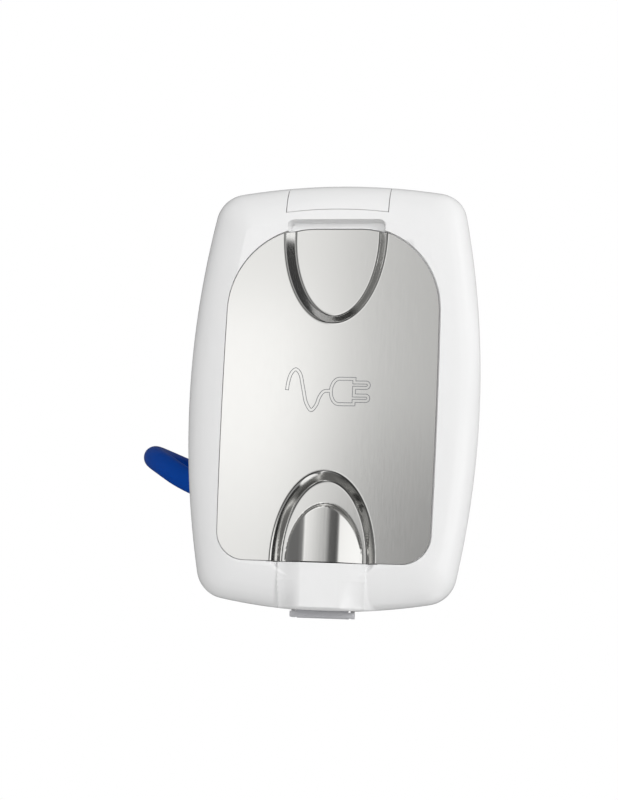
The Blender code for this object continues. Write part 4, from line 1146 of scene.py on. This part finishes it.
def make_strap():
    """Ladder strap through the bridge on the rear cover, round the turns of the coil."""
    rounds = [(place, BAR_RADIUS) for place in BAR_PLACES]
    for angle in (math.radians(450), math.radians(810)):
        share = (angle - COIL_START) / (COIL_END - COIL_START)
        place = coil_point(angle, COIL_REACH * (1 - 2 * share))
        rounds.append(((place.y, place.z), LEAD_DIAMETER / 2 + STRAP_THICKNESS / 2 + 0.0001))
    loops = []
    for extra in (-STRAP_THICKNESS / 2, STRAP_THICKNESS / 2):
        cloud = []
        for place, radius in rounds:
            cloud += [(round(y, 7), round(z, 7)) for y, z in arc(place, radius + extra, 0, 357, 119)]
        outline = [Vector((0, *point)) for point in hull(cloud)]
        outline.append(outline[0])
        loops.append(even_points(outline, path_length(outline) / (STRAP_STEPS + 0.5))[:STRAP_STEPS])
    left, right = STRAP_X - STRAP_WIDTH / 2, STRAP_X + STRAP_WIDTH / 2
    rings = []
    for inner, outer in zip(*loops):
        rings.append([
            (left, inner.y, inner.z), (right, inner.y, inner.z),
            (right, outer.y, outer.z), (left, outer.y, outer.z),
        ])
    strap = add_object("strap_tie", hoop(rings))
    top = max(loops[1], key=lambda point: point.z)
    head = block(
        (STRAP_X - 0.0038, top.y - 0.0040, top.z - 0.0009),
        (STRAP_X + 0.0038, top.y + 0.0030, top.z + 0.0036),
    )
    bmesh.ops.bevel(head, geom=head.edges[:], offset=0.0007, segments=3, affect="EDGES")
    stub = block((left, top.y - 0.0007, top.z + 0.0010), (right, top.y + 0.0005, top.z + 0.0075))
    carve(strap, [("UNION", head), ("UNION", stub)])
    show(strap, "base", "grey_plastic", "cable_tie")


def make_flap():
    """Flap under the boss: a lip over the lugs, a plate in the boss's mouth and the hinge barrel."""
    front, rear = FLAP_Y - 0.0026, FLAP_Y - 0.0012
    profile = (
        (front, -0.0969), (rear, -0.0969), (rear, -0.0995), (front + 0.0006, -0.0995), (front, -0.0989),
    )
    flap = add_object("outlet_flap", prism(profile, -FLAP_HALF_WIDTH, FLAP_HALF_WIDTH))
    outline = (
        (-FLAP_INNER, rear), (FLAP_INNER, rear), (FLAP_INNER, -0.0080),
        (0.0070, -0.0117), (-0.0070, -0.0117), (-FLAP_INNER, -0.0080),
    )
    carve(flap, [
        ("UNION", loft([[(x, y, z) for x, y in outline] for z in (-0.0962, -0.0951)])),
        ("UNION", block((-FLAP_INNER, front, -0.0980), (FLAP_INNER, rear, -0.0951))),
        ("UNION", block((-FLAP_INNER, rear - 0.0002, -0.0988), (FLAP_INNER, FLAP_Y, -0.0976))),
        ("UNION", cross_rod(FLAP_INNER, (FLAP_Y, FLAP_Z), 0.0010, 24)),
        ("DIFFERENCE", cross_rod(0.016, (FLAP_Y, FLAP_Z), 0.0005, 16)),
    ])
    show(flap, "flap", "silver_plastic", "cable_flap")


make_lid()
make_plate()
make_symbol()
make_base()
make_flap()
make_wires()
make_strap()


def math_node(tree, operation, *values):
    """Math node; each value is a number or the output that feeds it."""
    node = tree.nodes.new("ShaderNodeMath")
    node.operation = operation
    for socket, value in zip(node.inputs, values):
        if isinstance(value, (int, float)):
            socket.default_value = value
        else:
            tree.links.new(value, socket)
    return node.outputs[0]


def seen_rays(tree):
    """1 for rays that show a thing directly, in a mirror or through glass."""
    path = tree.nodes.new("ShaderNodeLightPath")
    shown = math_node(tree, "MAXIMUM", path.outputs["Is Camera Ray"], path.outputs["Is Glossy Ray"])
    return math_node(tree, "MAXIMUM", shown, path.outputs["Is Transmission Ray"])


def make_stage():
    """White surroundings and a pale floor."""
    scene = bpy.context.scene
    scene.view_settings.view_transform = "Standard"
    world = bpy.data.worlds.new("studio")
    scene.world = world
    world.use_nodes = True
    tree = world.node_tree
    tree.nodes.clear()
    output = tree.nodes.new("ShaderNodeOutputWorld")
    mix = tree.nodes.new("ShaderNodeMixShader")
    tree.links.new(seen_rays(tree), mix.inputs["Fac"])
    for number, strength in ((1, WORLD_LIGHT), (2, 1.0)):
        light = new_node(tree, "ShaderNodeBackground", Strength=strength, Color=(1, 1, 1, 1))
        tree.links.new(light.outputs[0], mix.inputs[number])
    tree.links.new(mix.outputs[0], output.inputs["Surface"])

    shape = bmesh.new()
    bmesh.ops.create_circle(shape, cap_ends=True, segments=64, radius=FLOOR_RADIUS)
    floor = mesh_object("floor", shape)
    floor.location = FLOOR_PLACE
    material = bpy.data.materials.new("floor_paper")
    material.use_nodes = True
    tree = material.node_tree
    paper = tree.nodes["Principled BSDF"]
    paper.inputs["Base Color"].default_value = (0.86, 0.86, 0.86, 1)
    paper.inputs["Roughness"].default_value = 0.8
    glow = tree.nodes.new("ShaderNodeEmission")
    mix = tree.nodes.new("ShaderNodeMixShader")
    tree.links.new(math_node(tree, "MULTIPLY", seen_rays(tree), FLOOR_GLOW), mix.inputs["Fac"])
    tree.links.new(paper.outputs[0], mix.inputs[1])
    tree.links.new(glow.outputs[0], mix.inputs[2])
    tree.links.new(mix.outputs[0], tree.nodes["Material Output"].inputs["Surface"])
    floor.data.materials.append(material)
    floor.visible_glossy = False
    floor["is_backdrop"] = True


def make_lamp(name, place, size, power):
    """Square lamp aimed at the lid's centre, which isn't mirrored in the plate."""
    data = bpy.data.lights.new(name, "AREA")
    data.size = size
    data.energy = power
    lamp = bpy.data.objects.new(name, data)
    lamp.visible_glossy = False
    lamp.location = place
    lamp.rotation_euler = (CENTRE - Vector(place)).to_track_quat("-Z", "Y").to_euler()
    bpy.context.scene.collection.objects.link(lamp)


# Studio
WORLD_LIGHT = 0.5
FLOOR_RADIUS = 1.6
FLOOR_PLACE = (0, 0.05, -0.30)
FLOOR_GLOW = 0.85
WALL_STEPS = 96
WALL_RADIUS = 1.8
WALL_BOTTOM = -2.0
WALL_TOP = 3.4
WALL_PEAK = 2.0
# Levels round the compass, in degrees from the front, positive to the right
WALL_LEVELS = (
    (-179, 0.16), (-125, 0.12), (-92, 0.14), (-84, 0.25), (-73, 0.25), (-68, 0.20), (-40, 0.20), (-23, 0.30),
    (-19, 1.26), (-14.2, 1.26), (-12.45, 1.08), (-11.6, 0.87), (-10.8, 0.73), (-10.2, 0.66), (-9.0, 0.635),
    (-6, 0.60), (-3, 0.22), (22, 0.15), (28, 1.15), (60, 1.30), (68, 1.0), (150, 0.5), (179, 0.16),
)
# How far each height profile counts round the compass: left, right and side, and low where none of them does
WALL_ZONES = (
    (-179, (1, 0, 0)), (-14, (1, 0, 0)), (-10, (0, 1, 0)), (16, (0, 1, 0)), (22, (0, 0, 0)), (61, (0, 0, 0)),
    (65, (0, 0, 1)), (125, (0, 0, 1)), (140, (1, 0, 0)), (179, (1, 0, 0)),
)
LOW_HEIGHTS = (
    (-2.0, 0.9), (-1.8, 0.25), (-0.40, 0.25), (-0.10, 0.95), (0.22, 1.0), (0.30, 0.35), (3.4, 0.25),
)
LEFT_HEIGHTS = (
    (-2.0, 0.9), (-1.8, 0.25), (-0.40, 0.25), (-0.10, 0.70), (0.10, 0.80), (0.14, 0.84), (0.195, 0.90),
    (0.26, 0.985), (0.33, 1.0), (0.42, 1.0), (0.469, 0.87), (0.51, 0.80), (0.80, 0.9), (1.7, 0.9),
    (2.1, 0.22),
)
RIGHT_HEIGHTS = (
    (-2.0, 0.9), (-1.8, 0.25), (-0.40, 0.25), (-0.10, 0.55), (0.10, 0.60), (0.14, 0.62), (0.195, 0.68),
    (0.26, 0.82), (0.33, 1.0), (1.7, 1.0), (2.1, 0.22),
)
SIDE_HEIGHTS = (
    (-2.0, 0.9), (-1.8, 0.02), (0.435, 0.03), (0.475, 1.2), (0.60, 1.2), (0.66, 0.06), (3.4, 0.06),
)


def colour_ramp(tree, value, stops, low, high):
    """Colour ramp node whose stops lie between low and high; a level may be one number or three."""
    spread = new_node(tree, "ShaderNodeMapRange", From_Min=low, From_Max=high)
    tree.links.new(value, spread.inputs["Value"])
    node = tree.nodes.new("ShaderNodeValToRGB")
    tree.links.new(spread.outputs["Result"], node.inputs["Fac"])
    for number, (place, level) in enumerate(stops):
        share = (place - low) / (high - low)
        if number < 2:
            stop = node.color_ramp.elements[number]
            stop.position = share
        else:
            stop = node.color_ramp.elements.new(share)
        colour = level if isinstance(level, tuple) else (level / WALL_PEAK,) * 3
        stop.color = (*colour, 1.0)
    return node.outputs["Color"]


def make_surround():
    """Walls of the studio as polished surfaces see them: levels go round with the compass and by height."""
    shape = bmesh.new()
    outline = circle(WALL_RADIUS, WALL_STEPS)
    low, high = join_rings(shape, [[(x, y, z) for x, y in outline] for z in (WALL_BOTTOM, WALL_TOP)])
    shape.faces.new(low[::-1])
    shape.faces.new(high)
    wall = mesh_object("studio_wall", shape)
    material = bpy.data.materials.new("studio_cloth")
    material.use_nodes = True
    tree = material.node_tree
    tree.nodes.clear()
    split = tree.nodes.new("ShaderNodeSeparateXYZ")
    tree.links.new(tree.nodes.new("ShaderNodeTexCoord").outputs["Object"], split.inputs[0])
    back = math_node(tree, "MULTIPLY", split.outputs["Y"], -1.0)
    compass = math_node(tree, "DEGREES", math_node(tree, "ARCTAN2", split.outputs["X"], back))
    zones = tree.nodes.new("ShaderNodeSeparateColor")
    tree.links.new(colour_ramp(tree, compass, WALL_ZONES, -180, 180), zones.inputs[0])
    rest = 1.0
    for share in zones.outputs:
        rest = math_node(tree, "SUBTRACT", rest, share)
    total = 0.0
    heights = (LEFT_HEIGHTS, RIGHT_HEIGHTS, SIDE_HEIGHTS, LOW_HEIGHTS)
    for share, stops in zip([*zones.outputs, rest], heights):
        profile = colour_ramp(tree, split.outputs["Z"], stops, WALL_BOTTOM, WALL_TOP)
        total = math_node(tree, "MULTIPLY_ADD", profile, share, total)
    glow = tree.nodes.new("ShaderNodeEmission")
    tree.links.new(colour_ramp(tree, compass, WALL_LEVELS, -180, 180), glow.inputs["Color"])
    tree.links.new(math_node(tree, "MULTIPLY", total, WALL_PEAK ** 2), glow.inputs["Strength"])
    output = tree.nodes.new("ShaderNodeOutputMaterial")
    tree.links.new(glow.outputs[0], output.inputs["Surface"])
    wall.data.materials.append(material)
    wall.visible_camera = False
    wall.visible_diffuse = False
    wall.visible_transmission = False
    wall.visible_shadow = False
    wall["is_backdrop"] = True


make_stage()
make_surround()
make_lamp("key", (1.4, -1.1, 0.9), 0.7, 17)
make_lamp("fill", (-0.25, -1.75, 0.5), 1.0, 6.5)

for box_name, box in (("cad", cad_box), ("visual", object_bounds())):
    frame[box_name] = [list(map(float, corner)) for corner in box]
